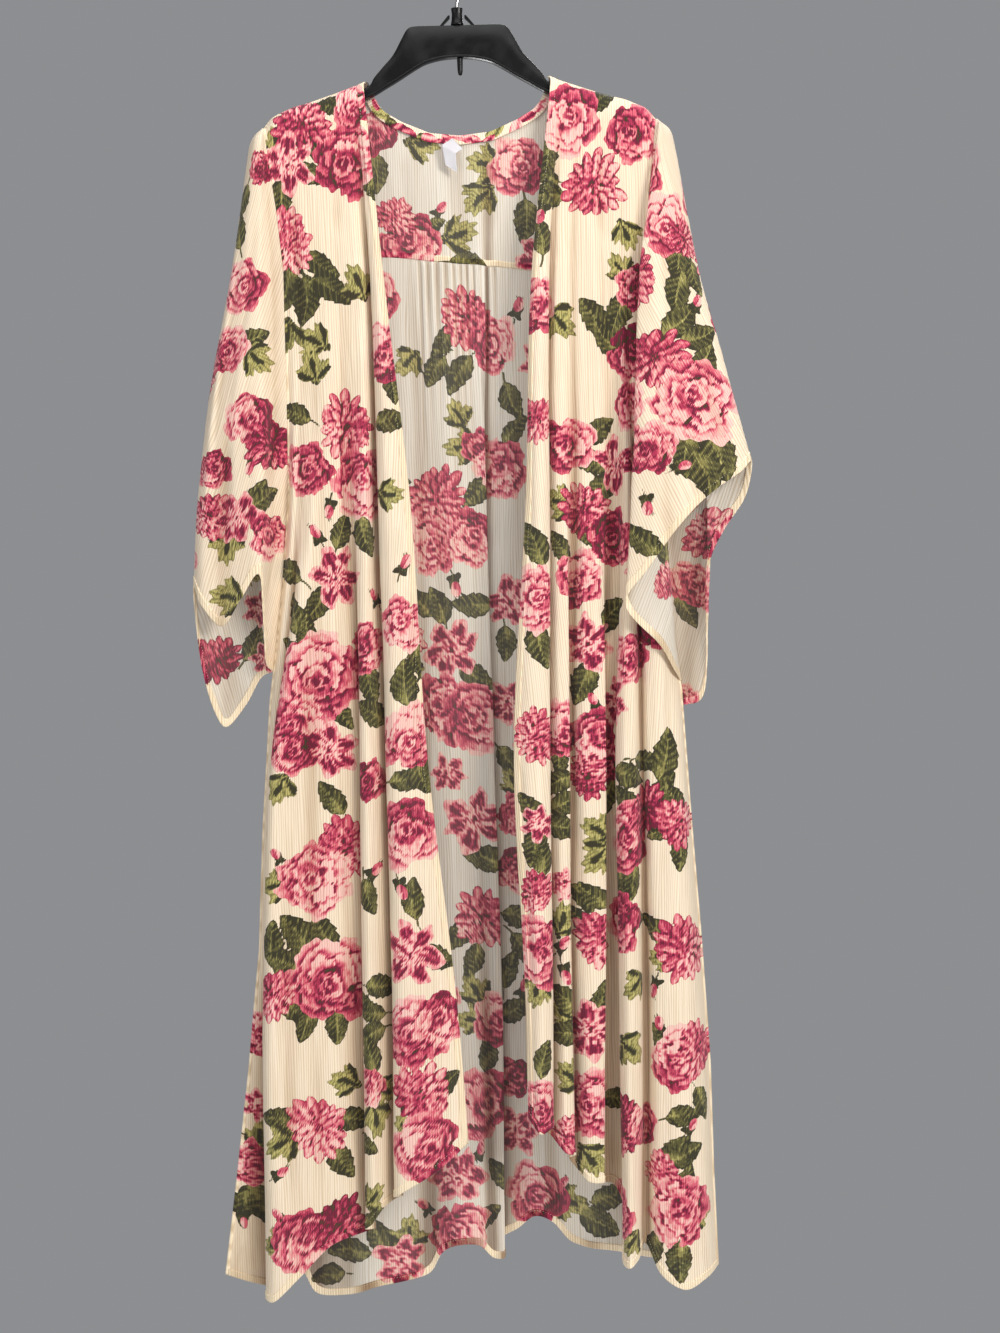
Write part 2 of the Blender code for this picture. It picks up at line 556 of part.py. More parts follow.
def sleeve(side):
    """One wide sleeve: a tube from the armhole, open along its foot."""
    table = SLEEVE_LEFT if side == "left" else SLEEVE_RIGHT
    sign = -1.0 if side == "left" else 1.0
    outer = [entry[0] for entry in table].index("outer")
    foot = CUFF_SEAM[side]
    rows = np.concatenate([shares(SLEEVE_KNOTS, SEAM_TOP, UNDERARM), SLEEVE_LOWER])
    share_up = (SEAM_TOP - UNDERARM) / (SEAM_TOP - foot)
    z = heights(rows, SEAM_TOP, UNDERARM, foot)
    x, half, turn = seam_line(z, side)
    apart = GAP / 2 + TURNED_APART * np.sin(turn * math.pi / 2)
    apart += np.clip((UNDERARM - z) / LOOSE_OVER, 0, 1) * LOOSE_APART
    depth = np.maximum(half, GAP / 2)
    middle = np.where(z >= UNDERARM, 0.0, side_depth(z, side))
    ends = [np.stack([x + sign * apart, middle + s * depth, z], axis=1) for s in (-1.0, 1.0)]
    rails = []
    for index, (_, x_top, *rest) in enumerate(table):
        xs, ys, hem = rest[:5], rest[5:8], rest[8]
        ridge = float(table_line(SHOULDER, x_top))
        rail_z = heights(rows, ridge, ridge + (hem - ridge) * share_up, hem)
        rx = at(SLEEVE_X_AT, xs, rail_z)
        ry = at(SLEEVE_Y_AT, ys, rail_z)
        share = turned(ridge - rail_z)
        at_top = float(np.sign(index - outer)) * GAP / 2
        rails.append(np.stack([x_top + (rx - x_top) * share, at_top + (ry - at_top) * share, rail_z], axis=1))
    rails = np.stack([ends[0]] + rails + [ends[1]], axis=1)
    points = loft(rails, [1] + [2] * (rails.shape[1] - 3) + [1])
    normals = facing(points)
    for column in (0, points.shape[1] - 1):
        turn_normals(normals, points, column, z, side, -1.0)
    tip = 1 + 2 * outer
    up = 1.0 if normals[SETTLED_ROW, tip, 0] * sign > 0 else -1.0
    normals[0] = (0.0, 0.0, up)
    walled(f"sleeve_{side}", points, normals, WALL, "printed_cloth")


def neck_binding():
    """Narrow band round the back neck, on the inner side of the yoke's edge."""
    centre = np.linspace(-BINDING_REACH, BINDING_REACH, BINDING_POINTS)
    edge = np.stack([centre, table_line(NECK, centre)], axis=1)
    run = np.gradient(edge, axis=0)
    run /= np.linalg.norm(run, axis=1, keepdims=True)
    down = np.stack([run[:, 1], -run[:, 0]], axis=1)
    neck_rail = BACK[[entry[0] for entry in BACK].index("back_10")]
    points = []
    for width in BINDING_ACROSS:
        spot = edge + down * width
        depth = at(BACK_Y_AT, neck_rail[7:11], spot[:, 1]) * turned(SHOULDER[0][1] - spot[:, 1])
        inner = depth - (WALL + BAND_WALL) / 2 - BINDING_GAP
        points.append(np.stack([spot[:, 0], inner, spot[:, 1]], axis=1))
    points = np.stack(points, axis=0)
    walled("neck_binding", points, facing(points), BAND_WALL, "binding_cloth")


def label():
    """Bare folded label that hangs from the middle of the neck binding."""
    rows = []
    for left_x, left_z, right_x, right_z, y in LABEL:
        across = np.array([0.0, 0.5, 1.0])
        bow = LABEL_BOW * np.sin(math.pi * across)
        rows.append(np.stack([left_x + (right_x - left_x) * across, y + bow,
                              left_z + (right_z - left_z) * across], axis=1))
    points = np.array(rows, float)
    walled("label", points, facing(points), BAND_WALL, "label_white")


def hanger_plate():
    """Arched plate of the hanger, with a rim along its foot on both sides."""
    half = np.asarray(PLATE, float)
    full = np.concatenate([half[:0:-1] * np.array([-1, 1, -1, 1]), half])
    rings = []
    for top_x, top_z, foot_x, foot_z in full:
        top, foot = np.array([top_x, top_z]), np.array([foot_x, foot_z])
        high = np.linalg.norm(top - foot)
        shelf = foot + (top - foot) / high * min(RIM_HIGH, RIM_SHARE * high)
        ring = [
            (top, -WEB_HALF), (shelf, -WEB_HALF), (shelf, -RIM_HALF), (foot, -RIM_HALF),
            (foot, RIM_HALF), (shelf, RIM_HALF), (shelf, WEB_HALF), (top, WEB_HALF),
        ]
        rings.append([(spot[0], y, spot[1]) for spot, y in ring])
    points = np.array(rings, float).reshape(-1, 3)
    node("hanger_plate", points, ring_faces(len(full), 8), "black_plastic", smooth=False)


def hanger_neck():
    """Socket on the plate's top that holds the hook's shank."""
    size = len(SOCKET)
    points, faces = [], []
    for k in range(SOCKET_SIDES):
        a = 2 * math.pi * k / SOCKET_SIDES
        for radius, z in SOCKET:
            flat = SOCKET_FLAT if radius > SOCKET[0][0] else 1.0
            points.append((radius * math.cos(a), radius * math.sin(a) * flat, z))
        other = (k + 1) % SOCKET_SIDES
        for c in range(size):
            d = (c + 1) % size
            faces.append((k * size + c, other * size + c, other * size + d, k * size + d))
    node("hanger_neck", points, faces, "black_plastic")


def gusset(side):
    """Small rib between the socket and the plate."""
    sign = -1.0 if side == "left" else 1.0
    points = [(sign * x, y, z) for y in (-GUSSET_HALF, GUSSET_HALF) for x, z in GUSSET]
    faces = ring_faces(2, len(GUSSET))
    if side == "left":
        faces = [face[::-1] for face in faces]
    node(f"gusset_{side}", points, faces, "black_plastic", smooth=False)


def hanger_stub():
    """Short peg under the middle of the plate."""
    angles = np.arange(STUB_SIDES) * 2 * math.pi / STUB_SIDES
    points = [(STUB_X + r * math.cos(a), r * math.sin(a), z) for z, r in STUB for a in angles]
    faces = [face[::-1] for face in ring_faces(len(STUB), STUB_SIDES)]
    node("hanger_stub", points, faces, "black_plastic")


def hanger_hook():
    """Wire hook: a straight shank, a bend and a round crook whose top is held."""
    centre = HOOK_DROP - CROOK
    radius = CROOK + WIRE
    path = list(HOOK_PATH)
    for degrees in range(*HOOK_ARC):
        a = math.radians(degrees)
        path.append((radius * math.cos(a), centre + radius * math.sin(a)))
    path = np.array(path, float)
    run = np.gradient(path, axis=0)
    run /= np.linalg.norm(run, axis=1, keepdims=True)
    angles = np.arange(HOOK_SIDES) * 2 * math.pi / HOOK_SIDES
    points = []
    for spot, along in zip(path, run):
        out = np.array([along[1], -along[0]]) * WIRE
        points += [(spot[0] + out[0] * math.cos(a), WIRE * math.sin(a), spot[1] + out[1] * math.cos(a))
                   for a in angles]
    node("hanger_hook", points, ring_faces(len(path), HOOK_SIDES), "wire_steel")


front_panel("left")
front_panel("right")
back_yoke()
back_skirt()
sleeve("left")
sleeve("right")
neck_binding()
label()
hanger_plate()
hanger_neck()
gusset("left")
gusset("right")
hanger_stub()
hanger_hook()
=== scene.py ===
"""Looks of an open kimono coat of sheer crinkled cloth, on a plastic hanger with a wire hook.

Lengths are in millimetres and are turned into metres where a mesh is made. Heights are given from the
level 20 mm under the held point, and HOOK_DROP moves them. X is to the right as the coat is seen from
the front, Y is to the back and Z is up. "Left" and "right" are the sides as they are seen from the front.

Each cloth piece is a smooth surface through rails. A rail is one line that runs down the piece, such as
the crest or the valley of a fold. The print is painted on the surface as signed distances and tones.
"""

import logging
import math
from collections.abc import Callable
from dataclasses import dataclass, field
from enum import Enum

import bpy
import numpy as np
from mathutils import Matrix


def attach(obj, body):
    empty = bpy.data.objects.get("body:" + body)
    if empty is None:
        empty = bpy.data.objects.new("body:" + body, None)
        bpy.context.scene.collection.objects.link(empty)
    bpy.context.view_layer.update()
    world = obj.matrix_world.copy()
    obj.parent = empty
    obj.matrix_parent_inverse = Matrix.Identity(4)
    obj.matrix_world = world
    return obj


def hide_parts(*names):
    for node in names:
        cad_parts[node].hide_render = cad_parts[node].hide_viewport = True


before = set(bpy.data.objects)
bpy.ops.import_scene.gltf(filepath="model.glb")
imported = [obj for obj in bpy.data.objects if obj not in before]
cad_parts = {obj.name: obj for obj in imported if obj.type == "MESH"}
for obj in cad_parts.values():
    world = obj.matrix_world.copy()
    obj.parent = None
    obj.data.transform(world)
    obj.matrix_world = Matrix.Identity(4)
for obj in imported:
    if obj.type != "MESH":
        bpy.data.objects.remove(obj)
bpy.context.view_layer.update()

Array = np.ndarray
Colour = tuple[float, float, float]
LOG = logging.getLogger("kimono_coat")

MM = 0.001
BODY = "root"
HOOK_DROP = 20.0  # the tables' zero is this far under the held point
WALL = 1.6  # the cloth solids' wall
BAND_WALL = 1.2  # neck binding and label
GAP = 0.4  # distance between two pieces along a seam
WRAP = 12.0  # height over which the cloth turns over the hanger's arm
UNDERARM = -560.0
YOKE_ENDS = -306.0
TOP_DEPTH = 11.5  # how far the fronts lie before the middle plane, just under the shoulder
NECK_RAIL = 98.0  # rails nearer the middle start at the neck edge
TURNED_APART = 0.5  # how far a sleeve's edge lies from the body's where both turn to the side
LOOSE_OVER = 60.0  # height under the arm over which the sleeve comes free of the body
LOOSE_APART = 0.3

# the hanger
WEB_HALF = 3.0
RIM_HALF = 5.0
RIM_HIGH = 3.0
RIM_SHARE = 0.4  # the most of the plate's height that the rim takes
WIRE = 1.9
CROOK = 20.0

# shoulder ridge, height against distance from the middle
SHOULDER = (
    (96, -112),
    (108, -117),
    (135, -126.5),
    (158, -134),
    (180, -140),
    (200, -149),
    (211, -159),
    (221, -169),
    (226, -179),
)
# back neck edge, height against distance from the middle
NECK = ((0, -171.5), (33, -168), (63, -155.5), (81, -145), (88, -137), (94, -125), (96.5, -116))

# armhole and side seam: height, left X, right X, half depth of the opening, turn of the wall at the seam
SEAM = (
    (-161, 211.0, 211.0, 0.0, 0.0),
    (-163.5, 210.4, 210.4, 5.4, 0.0),
    (-171, 209.4, 209.4, 8.6, 0.0),
    (-200, 205.0, 206.0, 11.0, 0.0),
    (-250, 198.0, 200.0, 13.0, 0.0),
    (-306, 192.6, 196.6, 14.0, 0.0),
    (-320, 191.5, 196.0, 14.0, 0.0),
    (-400, 191.5, 196.0, 13.0, 0.0),
    (-470, 192.0, 197.0, 10.5, 0.30),
    (-520, 193.0, 199.0, 6.5, 0.70),
    (-560, 194.5, 201.0, 0.0, 1.00),
    (-662, 203.5, 211.0, 0.0, 1.00),
    (-780, 219.5, 224.5, 0.0, 1.00),
    (-915, 230.5, 231.5, 0.0, 1.00),
    (-1050, 238.0, 239.5, 0.0, 1.00),
    (-1180, 252.5, 245.5, 0.0, 1.00),
    (-1295, 268.0, 246.5, 0.0, 1.00),
    (-1400, 283.0, 249.0, 0.0, 1.00),
)
# depth of the side seam under the arm: height, left Y, right Y
SIDE_DEPTH = ((-560, 0, 0), (-850, 1, 0), (-1100, 4, 1), (-1400, 10, 2))

SEAM_TOP = SEAM[0][0]
SEAM_FOOT = SEAM[-1][0]

# heights at which a front rail's X and Y are given; the first row of each is the shoulder's end
FRONT_X_AT = (-140, -330, -560, -850, -1100, -1400)
FRONT_Y_AT = (-140, -330, -850, -1400)
# name, x_top, x_330, x_560, x_850, x_1100, x_1400, y_330, y_850, y_1400, hem
FRONT_LEFT = (
    ("flank", -203, -185, -189, -222, -238, -265, -16, -4, 7, -1405),
    ("dip_3", -197, -179, -184, -216, -231, -236, -16, -6, 1, -1411),
    ("valley_3", -191, -174, -179, -211, -225, -228, -17, -11, -5, -1414),
    ("edge_3", -186, -168, -173, -219, -233, -237, -18, -19, -17, -1417),
    ("crest_3", -179, -160, -166, -212, -225, -228, -18, -28, -31, -1418),
    ("main_1", -168, -149, -154, -188, -199, -198, -19, -23, -31, -1391),
    ("main_2", -155, -139, -142, -156, -163, -165, -18, -18, -24, -1361),
    ("dip_2", -147, -132, -133, -121, -124, -127, -17, -11, -10, -1350),
    ("valley_2", -142, -126, -126, -114.5, -117, -120, -18, -14, -14, -1347),
    ("edge_2", -135, -119, -120, -123, -126, -129, -19, -21.5, -23, -1345),
    ("crest_2", -128, -112, -111, -115, -118, -121, -20, -30, -34, -1336),
    ("flat_2", -122, -106, -104, -104, -105, -109, -17, -20, -22, -1322),
    ("dip_1", -116, -101, -96, -93, -93, -97, -13, -12, -12, -1315),
    ("valley_1", -112, -96.5, -89, -86, -86, -90, -15.5, -15.5, -15.5, -1312),
    ("edge_1", -109, -99, -96.5, -95, -95, -99, -22, -24, -25, -1311),
    ("crest_1", -106, -94, -89, -87, -86, -90, -28.5, -34, -36, -1304),
    ("strip", -103.5, -89, -76, -67, -54, -46, -29, -36, -38, -1280),
    ("front_edge", -101, -85, -63, -50, -26, -10, -25, -29, -28, -1254),
)
FRONT_RIGHT = (
    ("front_edge", 97, 73.5, 62, 42, 48, 46, -24, -29, -28, -1229),
    ("strip", 100, 80, 72, 59, 61, 58, -30, -38, -41, -1244),
    ("crest_a", 103, 86, 80, 72, 70, 65, -30, -37, -39, -1242),
    ("edge_a", 106, 92, 87, 80.5, 77, 71.5, -24, -28.5, -29.5, -1238),
    ("valley_a", 109, 90, 80, 72.5, 69, 63.5, -18, -20, -20.5, -1244),
    ("dip_a", 112, 95, 86, 79, 76, 71, -15, -15.5, -15.5, -1253),
    ("flat_b", 116, 100, 95, 91, 89, 85, -18, -24, -27, -1268),
    ("edge_b", 120, 107, 105, 101.5, 97.5, 97.5, -18.5, -20, -20, -1272),
    ("valley_b", 124, 113, 109, 95, 91, 91, -17, -13, -12, -1277),
    ("dip_b", 128, 118, 115, 101.5, 97.5, 97, -16, -9, -7.5, -1286),
    ("flat_c", 133, 126, 125, 117, 113, 109, -18, -20, -22, -1300),
    ("edge_c", 138, 140, 142, 140.5, 134, 124, -19, -17, -17, -1303),
    ("valley_c", 145, 146, 148, 134, 127, 117, -17, -9, -7, -1304),
    ("dip_c", 149, 150, 152, 141, 134, 124, -16, -5, -1.5, -1306),
    ("floor", 153.5, 153, 156, 149, 144, 138, -16, -4, 1, -1310),
    ("valley_d", 158, 156.5, 160, 158, 156, 152, -16, -8, -5, -1352),
    ("edge_d", 163, 160, 164, 150.5, 148, 145, -17, -18, -18, -1387),
    ("crest_d", 168, 164, 169, 160, 157, 152, -18, -29, -33, -1391),
    ("fall_d", 173, 169, 174, 171, 168, 161, -17, -25, -24, -1384),
    ("recess", 178, 173, 179, 179, 177, 170, -16, -12, -8, -1371),
    ("side_1", 184, 178, 184, 187, 188, 186, -16, -22, -27, -1400),
    ("side_2", 191, 184, 190, 203, 209, 210, -15, -26, -32, -1415),
    ("side_3", 201, 190, 196, 219, 229, 233, -14, -17, -22, -1407),
)

BACK_X_AT = (-150, -306, -560, -850, -1100, -1400)
BACK_Y_AT = (-160, -306, -850, -1400)
# name, x_top, x_306, x_560, x_850, x_1100, x_1400, y_160, y_306, y_850, y_1400, yoke seam, hem
BACK = (
    ("back_1", -192, -176, -178, -210, -226, -262, 11, 17, 14, 30, -304, -1400),
    ("back_2", -170, -158, -160, -190, -204, -232, 11, 19, 26, 46, -302, -1404),
    ("back_3", -148, -140, -142, -168, -182, -206, 12, 20, 34, 58, -300, -1412),
    ("back_4", -122, -122, -124, -146, -160, -188, 12, 22, 41, 68, -298, -1441),
    ("back_5", -99, -104, -106, -124, -138, -158, 12, 23, 42, 62, -298, -1442),
    ("back_neck_1", -96.5, -96, -98, -114, -125, -142, 12, 23, 39, 56, -298, -1438),
    ("back_6", -86, -86, -88, -102, -112, -126, 12, 24, 37, 53, -298, -1432),
    ("back_7", -68, -68, -70, -80, -86, -93, 12, 25, 35, 58, -299, -1427),
    ("back_8", -50, -50, -52, -58, -62, -65, 12, 26, 41, 67, -301, -1421),
    ("back_9", -36, -36, -38, -42, -46, -50, 12, 26, 40, 60, -303, -1396),
    ("back_10", -22, -22, -23, -26, -28, -31, 12, 26, 36, 50, -304, -1386),
    ("back_11", -8, -8, -9, -10, -10, -9, 12, 26, 36, 57, -306, -1389),
    ("back_12", 6, 6, 6, 7, 7, 6, 12, 26, 38, 68, -307, -1406),
    ("back_edge", 17, 16, 19, 21, 23, 19, 12, 25, 40, 62, -308, -1404),
    ("back_valley", 27, 26, 17, 15, 17, 14, 12, 30, 55, 84, -309, -1390),
    ("back_13", 36, 35, 29, 30, 33, 34, 12, 27, 50, 76, -310, -1376),
    ("back_14", 50, 48, 44, 48, 51, 53, 12, 26, 44, 66, -312, -1360),
    ("back_15", 66, 63, 61, 67, 70, 72, 12, 26, 42, 66, -314, -1366),
    ("back_16", 86, 82, 82, 90, 92, 91, 12, 25, 40, 60, -316, -1386),
    ("back_neck_2", 96.5, 94, 95, 103, 106, 103, 12, 25, 39, 57, -316, -1391),
    ("back_17", 99, 106, 108, 116, 118, 114, 12, 24, 38, 55, -316, -1394),
    ("back_18", 126, 134, 138, 148, 148, 143, 12, 22, 36, 58, -314, -1399),
    ("back_19", 160, 160, 165, 182, 184, 180, 11, 20, 30, 56, -311, -1406),
    ("back_20", 190, 180, 186, 208, 217, 216, 11, 18, 18, 40, -308, -1405),
)

SLEEVE_X_AT = (-200, -330, -480, -640, -760)
SLEEVE_Y_AT = (-200, -480, -760)
# name, x_top, x_200, x_330, x_480, x_640, x_760, y_200, y_480, y_760, hem
SLEEVE_LEFT = (
    ("valley", -213, -209, -203, -205, -213, -224, -12, -13, -10, -737),
    ("ridge", -215, -214, -219, -220, -225, -230, -19, -30, -30, -643),
    ("front_1", -217, -220, -232, -241, -244, -246, -18, -28, -28, -668),
    ("front_2", -219, -225, -243, -266, -269, -268, -14, -19, -20, -697),
    ("front_3", -220.5, -228.5, -249, -275, -288, -290, -8, -17, -15, -674),
    ("outer", -221.5, -231, -253, -282, -298, -300, 0, -3, -3, -654),
    ("back_1", -220.5, -228, -249, -275, -286, -296, 8, 8, 8, -738),
    ("back_2", -219, -224, -240, -262, -279, -281, 11, 13, 14, -790),
    ("back_3", -217, -219, -230, -246, -262, -268, 12, 16, 18, -806),
    ("back_4", -215, -214, -218, -230, -245, -247, 12, 18, 16, -781),
    ("back_5", -213, -209, -206, -213, -226, -230, 12, 17, 10, -753),
)
SLEEVE_RIGHT = (
    ("inner_1", 213, 211, 203, 205, 213, 217, -13, -22, -18, -757),
    ("inner_2", 214.5, 210, 195, 191, 194, 200, -17, -36, -34, -727),
    ("crest", 215.5, 209, 188, 178, 167, 157, -21, -48, -48, -686),
    ("front_1", 217, 213, 200, 195, 188, 181, -23, -58, -56, -648),
    ("front_2", 218, 219, 221, 230, 232, 232, -21, -57, -51, -592),
    ("front_3", 219.5, 226, 238, 258, 268, 272, -15, -50, -42, -564),
    ("front_4", 220.5, 231, 248, 279, 302, 312, -8, -43, -36, -547),
    ("outer", 221.5, 233, 253, 288, 326, 350, -1, -34, -28, -536),
    ("back_1", 220.5, 230, 250, 279, 306, 318, 7, -24, -18, -572),
    ("back_2", 219.5, 226, 243, 264, 275, 280, 9, -19, -14, -606),
    ("back_3", 218.5, 222, 236, 252, 257, 252, 10, -17, -14, -640),
    ("back_4", 217, 219, 228, 243, 256, 249, 11, -8, -3, -784),
    ("back_5", 215.5, 214, 218, 230, 238, 234, 12, 2, 6, -793),
    ("back_6", 213, 209, 205, 213, 222, 222, 12, 8, 6, -790),
)
CUFF_SEAM = {"left": -747.0, "right": -768.0}

# the hanger's plate: top X, top Z, bottom X, bottom Z, from the middle to a tip
PLATE = (
    (0, -55, 0, -90),
    (24, -55, 17, -91),
    (46, -55.2, 34, -95),
    (54, -58, 44, -100),
    (60, -67.5, 54, -106),
    (70, -85.5, 66, -113.5),
    (81.5, -98.5, 79, -121),
    (91, -109.5, 90, -127.5),
    (96.5, -118, 98, -131),
    (110, -123.5, 110, -137),
    (135, -131, 133, -147.5),
    (158, -138.5, 157, -156.5),
    (180, -145, 180, -165),
    (198, -153.5, 198, -173),
    (208, -163, 207, -177.5),
    (213, -171, 212, -178),
)
# label: left X, left Z, right X, right Z, Y, from its top to its foot
LABEL = (
    (-8.3, -174.5, 2.8, -186.1, 6.5),
    (-19.9, -182.5, -5.1, -192.0, 2.5),
    (-16.8, -203.1, -3.8, -211.8, 5.5),
)

# hanger's socket for the hook: radius and height, as one closed profile
SOCKET = ((2.2, -54.6), (7.2, -54.6), (6.0, -49), (5.6, -42), (6.4, -36), (2.2, -36))
SOCKET_FLAT = 0.72  # the socket's depth against its width
# stub under the plate: height and radius
STUB = ((-90.4, 3.2), (-104, 2.8), (-109, 1.8))
STUB_X = 2.0

# hook: its shank and bend, X and height, and the arc of its crook in degrees
HOOK_PATH = ((0, -54.2), (0, -40), (0, -32), (2, -26), (8, -20.5), (14, -14))
HOOK_ARC = (-20, 231)

FAR = -9.0  # signed distance, in a motif's own units, where nothing is printed
STEP = 2.25  # usual distance between two points of a cloth piece
HEM = 7.0  # width of a turned hem
HEM_THICK = 1.3
STITCH_EVERY = 3.1
SHOWN_CELL = 4.0  # cell of the map that tells what shows from the front
SHOWN_DEPTH = 4.5  # how far behind the foremost cloth a point counts as hidden
HIDDEN_SPAN = 8  # steps of the grid by which a hidden motif keeps away from what shows
HIDDEN_SHARE = 0.98  # share of the points about a hidden motif's middle that are hidden too
VALLEY_SPAN = 9  # steps of the grid over which a fold's depth is measured
VALLEY_RANGE = (-1.6, 2.6)  # depths at the two ends of the fold's shades
SEAT_NEAR = 3.0  # how far a point may lie from the place that is looked for
MOTIF_REACH = 1.35  # half the square that a motif fills, in its own units
LEAF_TONE = 0.5  # how much less a leaf is darkened than a flower
SIDE_FADE = 12.0  # distance from a side edge over which the small folds die out
TOP_FADE = 18.0  # the same from the top
CREASE_WANDER = 2.2  # how far a crease drifts to each side
PLEAT = 8.7  # distance between two gathered pleats
LEAST_SLANT = 0.42  # the least share of a slanting walk that counts as distance from the edge
TINY = 1e-9
SIGN = {"left": -1.0, "right": 1.0}  # side of the middle on which X lies
SIDE_COLUMN = {"left": 1, "right": 2}  # its column in the seam's tables

# motifs on the hidden cloth
TRY_EVERY = 25  # grid points for each try
APART = 0.87  # distance between two motifs against the sum of their sizes
FLOWER_ODDS = (0.55, 0.28, 0.17)
FLOWER_SIZE = 27.0
ROSE_SIZE_TO = 42.0
OTHER_SIZE_TO = 33.0
LEAF_LONG = 24.0
SMALL_LONG = 17.0
LEAF_OUT = 0.62  # how far out from its flower a leaf's middle is, against its length
LEAF_CLEAR = 0.3  # how far its middle keeps from other motifs, against its length

# a stitch's half length and half width, and how far it stands in and out
STITCH_LONG = 1.15
STITCH_WIDE = 0.22
STITCH_IN = 0.16
STITCH_OUT = 0.22
STITCH_SEAT = 0.58  # its height over the middle of the hem, against the hem's thickness
STITCH_INSET = 1.3  # its distance from the hem's border
SHARP_ANGLE = math.radians(50)
ROUND_SOCKET = 48  # points round the socket
ROUND_STUB = 28

# lights: name, place, side of the square, watts, tint
LIGHTS = (
    ("key", (1.6, -2.2, 0.3), 0.9, 60.0, (1.0, 0.97, 0.93)),
    ("fill", (-1.8, -2.2, -0.4), 1.8, 20.0, (1.0, 0.985, 0.96)),
    ("low", (0.2, -2.6, -1.6), 1.6, 12.0, (1.0, 0.985, 0.96)),
    ("above", (0.0, -0.6, 0.75), 1.0, 9.0, (1.0, 1.0, 1.0)),
    ("behind", (0.8, 1.9, 1.5), 1.4, 64.0, (1.0, 1.0, 1.0)),
    ("behind_low", (-0.6, 2.3, -1.5), 0.7, 26.0, (1.0, 1.0, 1.0)),
)
AIR = (152, 153, 156)
AIR_STRENGTH = 0.85


class Motif(Enum):
    """The print's motifs."""

    ROSE = "rose"
    DAHLIA = "dahlia"
    PANSY = "pansy"
    LEAF = "leaf"
    SPRIG = "sprig"
    BUD = "bud"


ROSE, DAHLIA, PANSY, LEAF, SPRIG, BUD = Motif
FLOWERS = (ROSE, DAHLIA, PANSY)


class Edge(Enum):
    """The edges of a cloth piece's grid."""

    TOP = "top"
    FOOT = "foot"
    FIRST = "first"
    LAST = "last"


